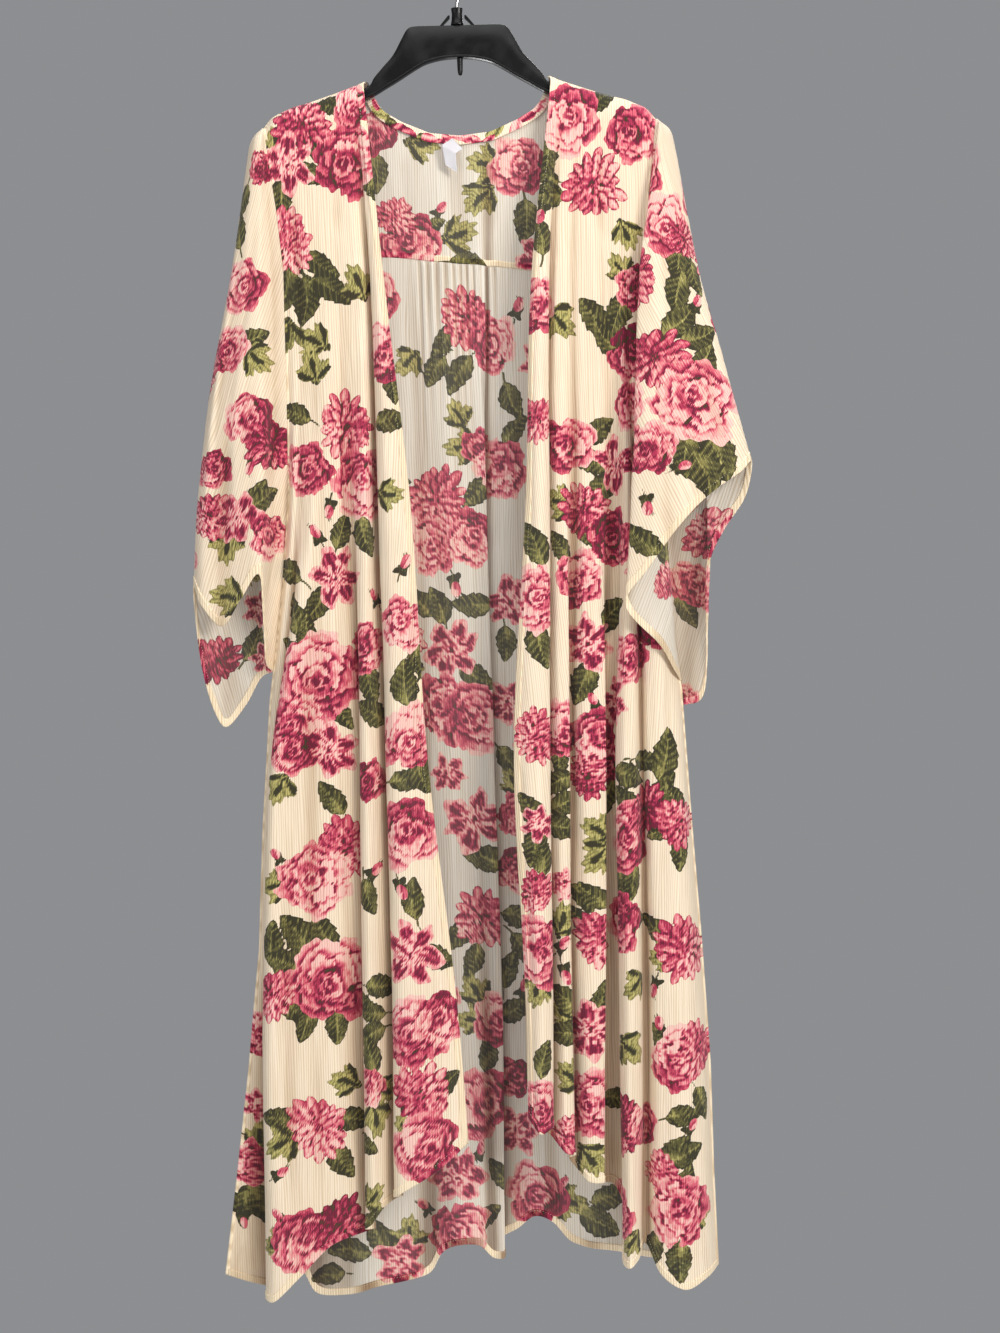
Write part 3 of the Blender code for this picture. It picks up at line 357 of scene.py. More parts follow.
# motifs that show: kind, x, height, half its width, turn in degrees, how much darker where that isn't 0
MOTIFS = {
    "front_left": (
        (ROSE, -120, -203, 45, 210, 0.1), (DAHLIA, -169, -159, 32, 40, 0.1), (PANSY, -184, -204, 32, 190),
        (ROSE, -113, -142, 27, 220), (LEAF, -135, -138, 22, 185, 0.28), (LEAF, -157, -178, 27, -60),
        (LEAF, -148, -191, 25, 150, 0.28), (LEAF, -160, -214, 25, -25), (LEAF, -193, -237, 27, -95),
        (SPRIG, -199, -176, 17, 105), (DAHLIA, -204, -278, 29, 10), (DAHLIA, -186, -293, 27, 220, -0.12),
        (LEAF, -209, -338, 30, -105, 0.28), (LEAF, -173, -348, 30, -95, 0.28),
        (LEAF, -142, -340, 29, -35, 0.28), (LEAF, -153, -312, 26, -35, 0.28), (SPRIG, -112, -332, 21, 115),
        (SPRIG, -167, -392, 20, 150), (SPRIG, -166, -422, 19, 105), (SPRIG, -197, -389, 19, -105, 0.28),
        (ROSE, -86, -409, 35, 120), (LEAF, -91, -230, 26, -55), (LEAF, -75, -444, 24, -80),
        (DAHLIA, -130, -486, 34, 290), (ROSE, -175, -532, 31, 220, 0.1), (ROSE, -114, -551, 40, 320, -0.12),
        (LEAF, -183, -473, 23, 160), (LEAF, -83, -485, 24, 5), (SPRIG, -82, -561, 17, -5),
        (LEAF, -197, -641, 29, 160), (BUD, -149, -576, 15, -105), (BUD, -161, -601, 16, 115),
        (BUD, -100, -670, 14, 125), (BUD, -67, -637, 16, 70), (LEAF, -112, -604, 27, -70),
        (LEAF, -135, -601, 23, 70), (PANSY, -141, -648, 32, 210), (LEAF, -163, -676, 27, -125),
        (LEAF, -191, -689, 29, 110), (LEAF, -174, -708, 24, 90), (LEAF, -197, -730, 29, 140),
        (ROSE, -165, -752, 51, 340), (ROSE, -113, -725, 31, 50, 0.1), (ROSE, -73, -701, 31, 190, -0.12),
        (LEAF, -70, -765, 29, 100), (LEAF, -57, -736, 23, -70), (LEAF, -142, -794, 24, -50),
        (LEAF, -107, -761, 29, -75), (LEAF, -105, -795, 26, 155), (ROSE, -191, -808, 38, 190),
        (ROSE, -69, -819, 38, 300, -0.12), (PANSY, -155, -832, 30, 100), (ROSE, -198, -834, 27, 30, 0.1),
        (ROSE, -110, -867, 25, 50, 0.28), (LEAF, -153, -885, 25, 125), (LEAF, -76, -867, 24, 0),
        (LEAF, -55, -859, 26, -75), (SPRIG, -210, -873, 18, -115), (ROSE, -73, -924, 40, 220),
        (DAHLIA, -140, -940, 34, 160), (ROSE, -175, -972, 42, 290, -0.12), (BUD, -211, -944, 13, 125),
        (SPRIG, -219, -977, 18, -185), (BUD, -83, -983, 17, -75), (BUD, -107, -963, 17, 35),
        (LEAF, -66, -994, 26, 95), (LEAF, -119, -988, 24, -70), (LEAF, -193, -1030, 30, 120),
        (LEAF, -161, -1031, 30, 115), (LEAF, -220, -1040, 29, 90), (LEAF, -201, -1062, 29, 150),
        (PANSY, -72, -1050, 35, 260), (LEAF, -44, -1055, 24, -25), (ROSE, -156, -1079, 48, 270),
        (DAHLIA, -224, -1092, 27, 230), (LEAF, -199, -1108, 23, -45), (LEAF, -185, -1124, 23, -110),
        (LEAF, -153, -1127, 24, -90), (LEAF, -126, -1105, 24, -40), (LEAF, -113, -1114, 24, 175),
        (LEAF, -114, -1137, 24, -160), (LEAF, -116, -1160, 25, 105), (LEAF, -104, -1085, 25, -5),
        (ROSE, -72, -1133, 42, 310), (ROSE, -42, -1121, 31, 200), (ROSE, -119, -1193, 22, 300, -0.12),
        (SPRIG, -101, -1200, 18, -30), (SPRIG, -112, -1228, 21, -75), (SPRIG, -85, -1234, 18, 150),
        (SPRIG, -148, -1188, 18, 160), (DAHLIA, -64, -1203, 34, 340), (LEAF, -39, -1191, 24, 45, 0.28),
        (ROSE, -61, -1257, 40, 310), (DAHLIA, -175, -1234, 34, 210, -0.12), (LEAF, -140, -1231, 26, -5),
        (LEAF, -152, -1272, 25, -60), (LEAF, -130, -1254, 23, -20), (LEAF, -216, -1224, 25, 170),
        (SPRIG, -215, -1252, 20, -155), (BUD, -215, -1282, 14, 30), (BUD, -221, -1325, 14, 125),
        (ROSE, -188, -1359, 42, 220), (DAHLIA, -154, -1340, 32, 20, 0.28), (SPRIG, -229, -1358, 19, 190),
        (SPRIG, -116, -1309, 17, 35), (LEAF, -116, -1334, 25, 15), (ROSE, -241, -1139, 27, 170),
        (ROSE, -254, -1279, 27, 310), (PANSY, -245, -1215, 18, 160), (SPRIG, -241, -1248, 19, 80),
        (LEAF, -243, -1319, 27, -65), (LEAF, -261, -1322, 27, -105), (BUD, -264, -1341, 13, -80),
    ),
    "sleeve_left": (
        (ROSE, -212, -207, 21, 320, 0.28), (ROSE, -239, -333, 32, 220, -0.12), (ROSE, -235, -475, 30, 220),
        (DAHLIA, -207, -506, 28, 170, 0.28), (BUD, -232, -528, 14, -110), (LEAF, -232, -564, 27, 55),
        (LEAF, -216, -565, 23, 40), (DAHLIA, -282, -578, 26, 220), (PANSY, -250, -583, 28, 110),
        (SPRIG, -261, -613, 20, -95), (SPRIG, -264, -666, 21, 170), (ROSE, -211, -604, 26, 230),
        (PANSY, -230, -678, 23, 210), (PANSY, -227, -731, 19, 330), (LEAF, -239, -716, 25, 115),
        (DAHLIA, -276, -732, 26, 100, 0.28), (ROSE, -253, -402, 26, 120), (LEAF, -237, -242, 25, -110),
        (LEAF, -242, -274, 25, 110), (ROSE, -271, -530, 23, 300, 0.1), (LEAF, -234, -392, 26, 20),
        (SPRIG, -217, -414, 19, -30),
    ),
    "back_yoke": (
        (ROSE, -93, -165, 25, 350, 0.1), (LEAF, -94, -205, 26, -80), (ROSE, -57, -283, 38, 170, 0.1),
        (DAHLIA, -73, -253, 22, 10), (BUD, -24, -249, 14, 55), (LEAF, -41, -273, 27, 35),
        (SPRIG, -1, -274, 21, 15), (SPRIG, -72, -312, 21, -125), (SPRIG, -38, -178, 20, -5),
        (SPRIG, 25, -203, 21, 170), (SPRIG, 21, -240, 21, -130), (LEAF, 3, -314, 25, -10),
        (ROSE, 63, -204, 35, 140), (LEAF, 68, -261, 27, -95),
    ),
    "back_skirt": (
        (DAHLIA, 3, -365, 32, 180), (ROSE, 27, -396, 33, 220), (LEAF, -26, -389, 24, -125),
        (LEAF, -33, -421, 23, -125), (LEAF, -5, -426, 29, -125), (LEAF, 50, -456, 25, -65),
        (LEAF, 51, -492, 24, 55), (LEAF, 10, -555, 26, -140), (SPRIG, -62, -413, 18, -140),
        (BUD, 58, -356, 17, 75), (DAHLIA, -38, -564, 36, 120), (ROSE, -47, -614, 33, 80, -0.12),
        (ROSE, 4, -606, 33, 50), (ROSE, 28, -530, 38, 220), (ROSE, 11, -507, 22, 0, 0.1),
        (SPRIG, -10, -469, 17, 115), (SPRIG, -9, -506, 20, 175), (LEAF, -54, -677, 26, 135),
        (LEAF, -36, -681, 25, 110), (LEAF, 5, -678, 26, -185), (LEAF, 3, -757, 27, -35),
        (LEAF, 35, -722, 23, -90), (BUD, -18, -658, 17, -75), (PANSY, -24, -726, 32, 140),
        (PANSY, 39, -677, 28, 310), (PANSY, 34, -788, 25, 180), (PANSY, -33, -864, 21, 300),
        (PANSY, 0, -918, 35, 240), (ROSE, -33, -789, 38, 240), (ROSE, 1, -807, 42, 100),
        (LEAF, 10, -960, 29, 160), (DAHLIA, 4, -1026, 34, 160), (LEAF, -23, -1043, 24, -140),
        (LEAF, -8, -1070, 24, -110), (SPRIG, -7, -1102, 19, 115), (SPRIG, -14, -1136, 17, 165),
        (ROSE, 14, -1137, 31, 190), (LEAF, 6, -1178, 25, 85), (ROSE, 0, -1230, 42, 180),
        (ROSE, 31, -1206, 25, 90, 0.28), (BUD, -4, -1284, 16, 65), (PANSY, -34, -1310, 35, 70),
        (PANSY, 34, -1268, 28, 280), (PANSY, -95, -1406, 30, 150), (LEAF, 20, -1312, 25, 135),
        (LEAF, -1, -1360, 26, 35), (LEAF, -152, -1393, 29, 180), (LEAF, -117, -1378, 29, 115),
        (LEAF, -178, -1420, 23, -170), (LEAF, 124, -1367, 29, -30), (LEAF, 138, -1338, 27, 15),
        (BUD, -68, -1345, 15, 125), (BUD, 84, -1322, 13, 50), (ROSE, -33, -1373, 38, 170),
        (ROSE, 51, -1338, 38, 90), (SPRIG, -84, -1374, 21, 80), (SPRIG, 92, -1345, 21, -15),
        (LEAF, 34, -851, 25, -50), (SPRIG, 38, -874, 17, 120), (ROSE, 44, -912, 27, 330),
        (ROSE, 40, -975, 27, 70), (LEAF, 39, -1027, 25, -15), (LEAF, 45, -1062, 27, -55),
        (LEAF, 28, -1087, 27, 70), (LEAF, 33, -1132, 25, 25), (BUD, 46, -1105, 17, 70),
    ),
    "front_right": (
        (ROSE, 115, -163, 42, 110, -0.12), (ROSE, 188, -179, 35, 110, 0.1), (DAHLIA, 145, -233, 36, 260),
        (LEAF, 95, -200, 27, -105), (LEAF, 94, -223, 23, 155), (LEAF, 99, -244, 26, -175),
        (LEAF, 152, -142, 25, 35, 0.28), (LEAF, 81, -290, 25, 95), (BUD, 82, -266, 17, -110),
        (SPRIG, 176, -290, 18, -70), (SPRIG, 169, -322, 17, 125), (SPRIG, 104, -381, 21, -45),
        (LEAF, 142, -376, 29, 130), (LEAF, 168, -371, 29, -120), (LEAF, 155, -402, 29, 135),
        (ROSE, 176, -415, 33, 50, 0.28), (ROSE, 184, -345, 25, 200, 0.28), (ROSE, 78, -364, 33, 310),
        (DAHLIA, 75, -486, 24, 310), (ROSE, 110, -512, 35, 220), (LEAF, 144, -498, 23, 40),
        (LEAF, 138, -532, 25, 170), (LEAF, 145, -559, 27, -130), (PANSY, 157, -535, 30, 180),
        (DAHLIA, 120, -583, 32, 90, 0.1), (SPRIG, 95, -573, 20, 160), (LEAF, 100, -622, 23, 120),
        (LEAF, 134, -610, 27, 165), (LEAF, 68, -621, 29, 110), (LEAF, 75, -724, 29, -80),
        (LEAF, 151, -697, 29, 40), (LEAF, 115, -766, 29, -120), (ROSE, 155, -614, 33, 150, 0.28),
        (ROSE, 113, -656, 33, 160), (ROSE, 68, -675, 38, 180, -0.12), (PANSY, 128, -725, 32, 330),
        (BUD, 130, -787, 14, 110), (ROSE, 169, -743, 31, 150), (DAHLIA, 65, -822, 29, 230),
        (ROSE, 99, -817, 35, 290), (ROSE, 136, -829, 35, 240), (ROSE, 145, -857, 22, 110, 0.28),
        (DAHLIA, 116, -868, 24, 80, 0.1), (LEAF, 89, -849, 23, -100), (LEAF, 86, -874, 26, -160),
        (LEAF, 92, -895, 26, 25), (LEAF, 87, -922, 27, -10), (LEAF, 144, -886, 27, -105),
        (LEAF, 163, -895, 26, 140), (LEAF, 166, -867, 26, -20), (PANSY, 67, -915, 21, 150),
        (LEAF, 59, -903, 26, 120), (LEAF, 60, -938, 26, -105), (LEAF, 70, -951, 24, 95),
        (SPRIG, 129, -925, 19, 145), (SPRIG, 128, -955, 20, -140), (ROSE, 154, -934, 40, 340),
        (LEAF, 149, -980, 23, -85), (LEAF, 166, -978, 25, -90), (LEAF, 107, -996, 23, -45),
        (LEAF, 127, -996, 26, 145), (LEAF, 110, -1023, 27, 145), (LEAF, 165, -1022, 25, 5),
        (DAHLIA, 63, -988, 22, 70), (ROSE, 87, -982, 18, 50, -0.12), (ROSE, 66, -1051, 40, 310),
        (SPRIG, 89, -1018, 20, 70), (SPRIG, 56, -1095, 19, -115), (SPRIG, 84, -1117, 18, 150),
        (SPRIG, 167, -1093, 18, -145), (BUD, 91, -1046, 16, 40), (BUD, 92, -1079, 17, -75),
        (DAHLIA, 130, -1042, 32, 220), (ROSE, 147, -1026, 35, 240, 0.1), (LEAF, 130, -1109, 26, 70),
        (LEAF, 85, -1104, 25, 145), (LEAF, 87, -1142, 27, -185), (LEAF, 67, -1167, 24, 75),
        (PANSY, 120, -1141, 35, 270), (SPRIG, 91, -1185, 20, 145), (SPRIG, 115, -1280, 21, -50),
        (SPRIG, 161, -1160, 21, -40), (SPRIG, 150, -1367, 17, -130), (ROSE, 59, -1216, 31, 130),
        (ROSE, 118, -1219, 40, 110), (DAHLIA, 87, -1251, 22, 250), (DAHLIA, 149, -1231, 24, 40, 0.28),
        (DAHLIA, 146, -1251, 22, 60, 0.28), (LEAF, 143, -1218, 23, -10), (LEAF, 159, -1231, 24, -10),
        (ROSE, 173, -1241, 25, 120), (LEAF, 179, -853, 25, -10), (LEAF, 204, -848, 33, 80),
        (LEAF, 199, -883, 23, 50), (LEAF, 214, -896, 23, 115), (LEAF, 200, -929, 23, -170),
        (LEAF, 219, -948, 25, -90), (DAHLIA, 180, -904, 27, 270, 0.28), (DAHLIA, 219, -918, 27, 200),
        (DAHLIA, 220, -1053, 36, 290), (LEAF, 187, -1031, 26, 145), (SPRIG, 190, -1061, 17, -175),
        (BUD, 183, -1096, 16, -105), (BUD, 188, -1135, 16, 90), (ROSE, 208, -1172, 35, 240),
        (DAHLIA, 233, -1162, 29, 300), (LEAF, 190, -1150, 23, 120), (LEAF, 212, -1232, 23, 5),
        (LEAF, 235, -1218, 23, -65), (LEAF, 201, -1268, 24, 45), (LEAF, 215, -1273, 27, 25),
        (LEAF, 214, -1302, 23, 65), (BUD, 224, -1244, 14, 45), (DAHLIA, 186, -1292, 22, 20),
        (ROSE, 204, -1333, 40, 220), (SPRIG, 232, -1334, 19, 15), (LEAF, 205, -1385, 26, -90),
        (LEAF, 178, -1372, 24, -105),
    ),
    "sleeve_right": (
        (ROSE, 220, -278, 37, 290, -0.12), (DAHLIA, 240, -297, 22, 150, 0.1), (LEAF, 231, -320, 29, -100),
        (LEAF, 230, -352, 29, -110), (LEAF, 250, -338, 23, -85), (LEAF, 229, -387, 29, 40),
        (LEAF, 249, -403, 26, 20), (LEAF, 255, -433, 26, 60), (BUD, 250, -366, 14, 65),
        (DAHLIA, 199, -427, 33, 230, 0.1), (ROSE, 245, -471, 45, 190, -0.12),
        (ROSE, 184, -522, 31, 110, 0.1), (LEAF, 233, -527, 29, -100), (LEAF, 267, -529, 31, -75),
        (LEAF, 249, -548, 29, -75), (LEAF, 182, -620, 26, 135), (LEAF, 212, -624, 26, 80),
        (BUD, 227, -543, 13, 25), (BUD, 187, -582, 15, -80), (ROSE, 230, -660, 23, 20),
        (ROSE, 248, -670, 25, 270), (LEAF, 231, -690, 25, -120), (ROSE, 208, -803, 23, 170),
        (DAHLIA, 214, -661, 19, 0),
    ),
}

# soft creases: x, height of the middle, half length, depth (a ridge is positive), half width
CREASES = {
    "front_left": (
        (-178, -300, 90, -1.3, 7), (-160, -520, 150, -1.6, 9), (-150, -760, 190, 1.4, 8),
        (-176, -900, 210, -2.0, 10), (-141, -980, 240, -1.4, 8), (-205, -1120, 220, -1.8, 11),
        (-158, -1240, 130, 1.6, 9), (-132, -230, 60, -1.0, 6), (-185, -640, 110, 1.3, 8),
        (-110, -760, 150, -0.9, 5), (-60, -900, 190, -1.3, 6), (-48, -1120, 150, -1.2, 6),
    ),
    "front_right": (
        (172, -300, 90, -1.2, 7), (133, -430, 130, -1.4, 8), (120, -640, 150, 1.1, 7),
        (104, -880, 200, -1.2, 6), (67, -620, 210, -1.1, 6), (62, -1000, 170, 1.2, 6),
        (205, -880, 190, -1.8, 9), (222, -1120, 190, 1.6, 9), (190, -1230, 150, -1.8, 9),
        (120, -1060, 190, 1.1, 6), (150, -240, 60, -0.9, 6), (170, -560, 120, 1.2, 7),
    ),
    "back_skirt": (
        (-20, -520, 160, -1.6, 7), (8, -640, 240, 1.7, 8), (-45, -760, 260, -1.8, 10),
        (38, -560, 160, -1.4, 8), (46, -900, 260, -1.9, 11), (-30, -1120, 230, 1.8, 11),
        (-120, -700, 260, -2.0, 13), (-170, -1000, 260, 2.0, 14), (-95, -1180, 200, -1.7, 12),
        (100, -760, 260, -2.0, 13), (150, -1020, 260, 1.9, 13), (190, -1180, 200, -1.9, 12),
        (-150, -450, 110, 1.4, 10), (130, -430, 120, -1.5, 10),
    ),
    "back_yoke": (
        (-60, -230, 55, 0.9, 9), (-20, -240, 50, -0.9, 9), (30, -235, 50, 0.8, 9),
        (75, -230, 55, -0.9, 9), (130, -230, 60, 1.0, 10), (-130, -230, 60, -1.0, 10),
    ),
    "sleeve_left": (
        (-232, -330, 110, -1.4, 7), (-246, -470, 120, 1.3, 7), (-262, -560, 90, -1.5, 8),
        (-226, -560, 90, 1.0, 6), (-285, -560, 80, -1.2, 7), (-240, -700, 70, 1.2, 7),
    ),
    "sleeve_right": (
        (214, -320, 100, -1.3, 7), (238, -430, 110, 1.4, 9), (268, -470, 70, -1.5, 9),
        (206, -500, 90, -1.3, 7), (226, -560, 70, 1.3, 8), (250, -640, 70, -1.2, 7),
        (196, -640, 60, 1.0, 6),
    ),
}


def at(levels: tuple, values: list, where: Array) -> Array:
    """Smooth curve through values at falling levels, straight past its ends.

    Each stretch is a cubic whose slope at a level is the mean of the two slopes beside it, weighted by
    the other stretch's length.

    Args:
        levels: Heights, from the top down.
        values: Value at each of them.
        where: Heights at which the curve is read.

    Returns:
        The curve's values.
    """
    x = -np.asarray(levels, float)
    y = np.asarray(values, float)
    w = -np.asarray(where, float)
    d = np.diff(y) / np.diff(x)
    m = np.empty_like(y)
    m[0], m[-1] = d[0], d[-1]
    m[1:-1] = (d[:-1] * np.diff(x)[1:] + d[1:] * np.diff(x)[:-1]) / (x[2:] - x[:-2])
    i = np.clip(np.searchsorted(x, w) - 1, 0, len(x) - 2)
    h = x[i + 1] - x[i]
    t = (w - x[i]) / h
    inside = np.clip(t, 0, 1)
    a = inside * inside * (3 - 2 * inside)
    b = inside * (1 - inside) ** 2
    c = inside * inside * (inside - 1)
    out = y[i] * (1 - a) + y[i + 1] * a + h * (m[i] * b + m[i + 1] * c)
    return out + np.where(t < 0, t * h * m[i], 0) + np.where(t > 1, (t - 1) * h * m[i + 1], 0)


def table_line(table: tuple, x: Array) -> Array:
    """Line of straight pieces through a two-column table over the distance from the middle.

    Args:
        table: Rows of distance and value.
        x: Places where it is read, on either side of the middle.

    Returns:
        The values.
    """
    columns = np.asarray(table, float)
    return np.interp(np.abs(x), columns[:, 0], columns[:, 1])


def read_down(table: tuple, z: Array, column: int) -> Array:
    """Column of a table of falling heights, read in straight pieces between its rows."""
    knots = np.asarray(table, float)[::-1]
    return np.interp(z, knots[:, 0], knots[:, column])


def unit(vectors: Array) -> Array:
    """The vectors at length one, where the last axis holds their parts."""
    return vectors / np.maximum(np.linalg.norm(vectors, axis=-1, keepdims=True), TINY)


def run_length(points: Array) -> Array:
    """Distance from the first point to each one, gone along the axis before the last."""
    steps = np.linalg.norm(np.diff(points, axis=-2), axis=-1)
    return np.concatenate([np.zeros(steps.shape[:-1] + (1,)), np.cumsum(steps, axis=-1)], axis=-1)


def seam_line(z: Array, side: str) -> tuple[Array, Array]:
    """X and half depth of the armhole and side seam, made of straight pieces between its knots.

    Args:
        z: Heights.
        side: "left" or "right".

    Returns:
        X and half depth at each height.
    """
    return SIGN[side] * read_down(SEAM, z, SIDE_COLUMN[side]), read_down(SEAM, z, 3)


def seam_turn(z: Array) -> Array:
    """How far the wall has turned to the side at the seam, from 0 at the armhole to 1 under the arm."""
    return read_down(SEAM, z, 4)


def side_depth(z: Array, side: str) -> Array:
    """Y of the side seam under the arm at each height."""
    return read_down(SIDE_DEPTH, z, SIDE_COLUMN[side])


def turned(distance: Array) -> Array:
    """Share of a rail's depth that is reached at a distance under the ridge that it hangs over."""
    return np.sqrt(1 - (1 - np.clip(distance / WRAP, 0, 1)) ** 2)


def hung_rail(top: tuple[float, float], x: Array, y: Array, z: Array, ridge: float) -> Array:
    """Rail that starts at a point of the shoulder's ridge and reaches its own X and Y just under it.

    Args:
        top: X and Y of its start.
        x: Its own X at each height.
        y: Its own Y at each height.
        z: The heights.
        ridge: Height of its start.

    Returns:
        The points.
    """
    share = turned(ridge - z)
    return np.stack([top[0] + (x - top[0]) * share, top[1] + (y - top[1]) * share, z], axis=1)


def loft(rails: Array, steps: list[int]) -> Array:
    """Smooth surface through rails.

    Across a row the surface is a cubic through the rails, whose knots are apart by the square root of
    the mean distance between two rails. Each span is cut into its number of steps.

    Args:
        rails: Rows by rails by three.
        steps: Steps of each span between two rails.

    Returns:
        The points, rows by columns by three.
    """
    chord = np.linalg.norm(np.diff(rails, axis=1), axis=2).mean(axis=0)
    knots = np.concatenate([[0], np.cumsum(np.sqrt(chord + 0.01))])
    gaps = np.diff(knots)
    slope = np.diff(rails, axis=1) / gaps[None, :, None]
    tangent = np.empty_like(rails)
    tangent[:, 0], tangent[:, -1] = slope[:, 0], slope[:, -1]
    before = gaps[:-1][None, :, None]
    after = gaps[1:][None, :, None]
    tangent[:, 1:-1] = (slope[:, :-1] * after + slope[:, 1:] * before) / (before + after)
    i = np.repeat(np.arange(len(steps)), steps)
    t = np.concatenate([np.arange(n) / n for n in steps] + [[1.0]])[None, :, None]
    i = np.append(i, len(steps) - 1)
    h = gaps[i][None, :, None]
    a = t * t * (3 - 2 * t)
    return (
        rails[:, i] * (1 - a)
        + rails[:, i + 1] * a
        + h * (tangent[:, i] * t * (1 - t) ** 2 + tangent[:, i + 1] * t * t * (t - 1))
    )


def span_steps(rails: Array, step: float) -> list[int]:
    """Steps of each span between two rails, so that the surface's points are a step apart at most."""
    chord = np.linalg.norm(np.diff(rails, axis=1), axis=2)
    return [int(n) for n in np.maximum(1, np.ceil(np.quantile(chord, 0.7, axis=0) / step))]


def facing(points: Array) -> Array:
    """Unit normals of a grid of points, from the differences along its rows and columns."""
    return unit(np.cross(np.gradient(points, axis=1), np.gradient(points, axis=0)))


def heights(rows: Array, top: float, middle: float, foot: float) -> Array:
    """Heights of a rail's rows: shares of top to middle up to 1, and 2 plus shares of middle to foot."""
    return np.where(rows <= 1, top + (middle - top) * rows, middle + (foot - middle) * (rows - 2))


def soft_step(x: Array) -> Array:
    """Smooth rise from 0 to 1 while x goes from 0 to 1."""
    t = np.clip(x, 0, 1)
    return t * t * (3 - 2 * t)


def fine_rows(upper: float, lower: float, step: float, over_arm: bool) -> Array:
    """Rows of a cloth piece: shares of its upper part up to 1, then 2 plus shares of its lower part.

    Where the piece turns over the hanger's arm, its first rows are as far apart as even steps round a
    quarter circle.

    Args:
        upper: Length of the upper part.
        lower: Length of the lower part, 0 where there is none.
        step: Distance between two rows.
        over_arm: Whether the piece starts on the ridge of the shoulder.

    Returns:
        The rows.
    """
    start = 0.0
    first = np.zeros(0)
    if over_arm:
        start = WRAP / upper
        first = start * (1 - np.cos(np.linspace(0, np.pi / 2, 8)[:-1]))
    rest = np.linspace(start, 1, int((upper - start * upper) / step) + 1)
    below = 2 + np.linspace(0, 1, int(lower / step) + 1)[1:] if lower else np.zeros(0)
    return np.concatenate([first, rest, below])


def signed_ellipse(
    x: Array, y: Array, centre: tuple[float, float], radii: tuple[float, float], turn: float = 0.0
) -> tuple[Array, Array, Array]:
    """Distance inside an ellipse, about right near its edge, and the place in the ellipse's own axes.

    Args:
        x: First coordinate of each point.
        y: Second coordinate of each point.
        centre: Middle of the ellipse.
        radii: Its half axes.
        turn: Angle of its first axis, in radians.

    Returns:
        The distance, positive inside, and the coordinates along the two axes in units of the radii.
    """
    c, s = math.cos(turn), math.sin(turn)
    along = ((x - centre[0]) * c + (y - centre[1]) * s) / radii[0]
    across = (-(x - centre[0]) * s + (y - centre[1]) * c) / radii[1]
    return (1 - np.hypot(along, across)) * min(radii), along, across


class Ink:
    """Signed distance and tone of the shapes printed so far, each one laid over those before it."""

    def __init__(self, like: Array) -> None:
        """Starts with nothing printed at the points of an array."""
        self.distance = np.full(like.shape, FAR)
        self.tone = np.zeros(like.shape)

    def lay(self, distance: Array, tone: Array, shade: float = 0.0, reach: float = 0.08) -> None:
        """Prints a shape: its tone goes where it is, and also where it is the nearest shape.

        Args:
            distance: Signed distance, positive inside the shape.
            tone: Tone from 0, the palest ink, to 1 and over, the darkest.
            shade: How much it darkens what lies under it, close to its edge.
            reach: Width of that shade.
        """
        self.tone = self.tone + shade * np.clip(1 + distance / reach, 0, 1) * (self.distance > 0)
        self.tone = np.where((distance > 0) | (distance > self.distance), tone, self.tone)
        self.distance = np.maximum(self.distance, distance)


def unevenly(x: Array, y: Array, by: float, phase: float) -> tuple[Array, Array]:
    """Moves coordinates a little, by sums of slow waves, so that drawn shapes look hand painted."""
    return (
        x + by * (np.sin(3.1 * y + phase) + 0.6 * np.sin(6.7 * x + 4.9 * y + 2 * phase)),
        y + by * (np.sin(2.7 * x + 1.7 * phase) + 0.6 * np.sin(5.3 * y - 6.1 * x + phase)),
    )


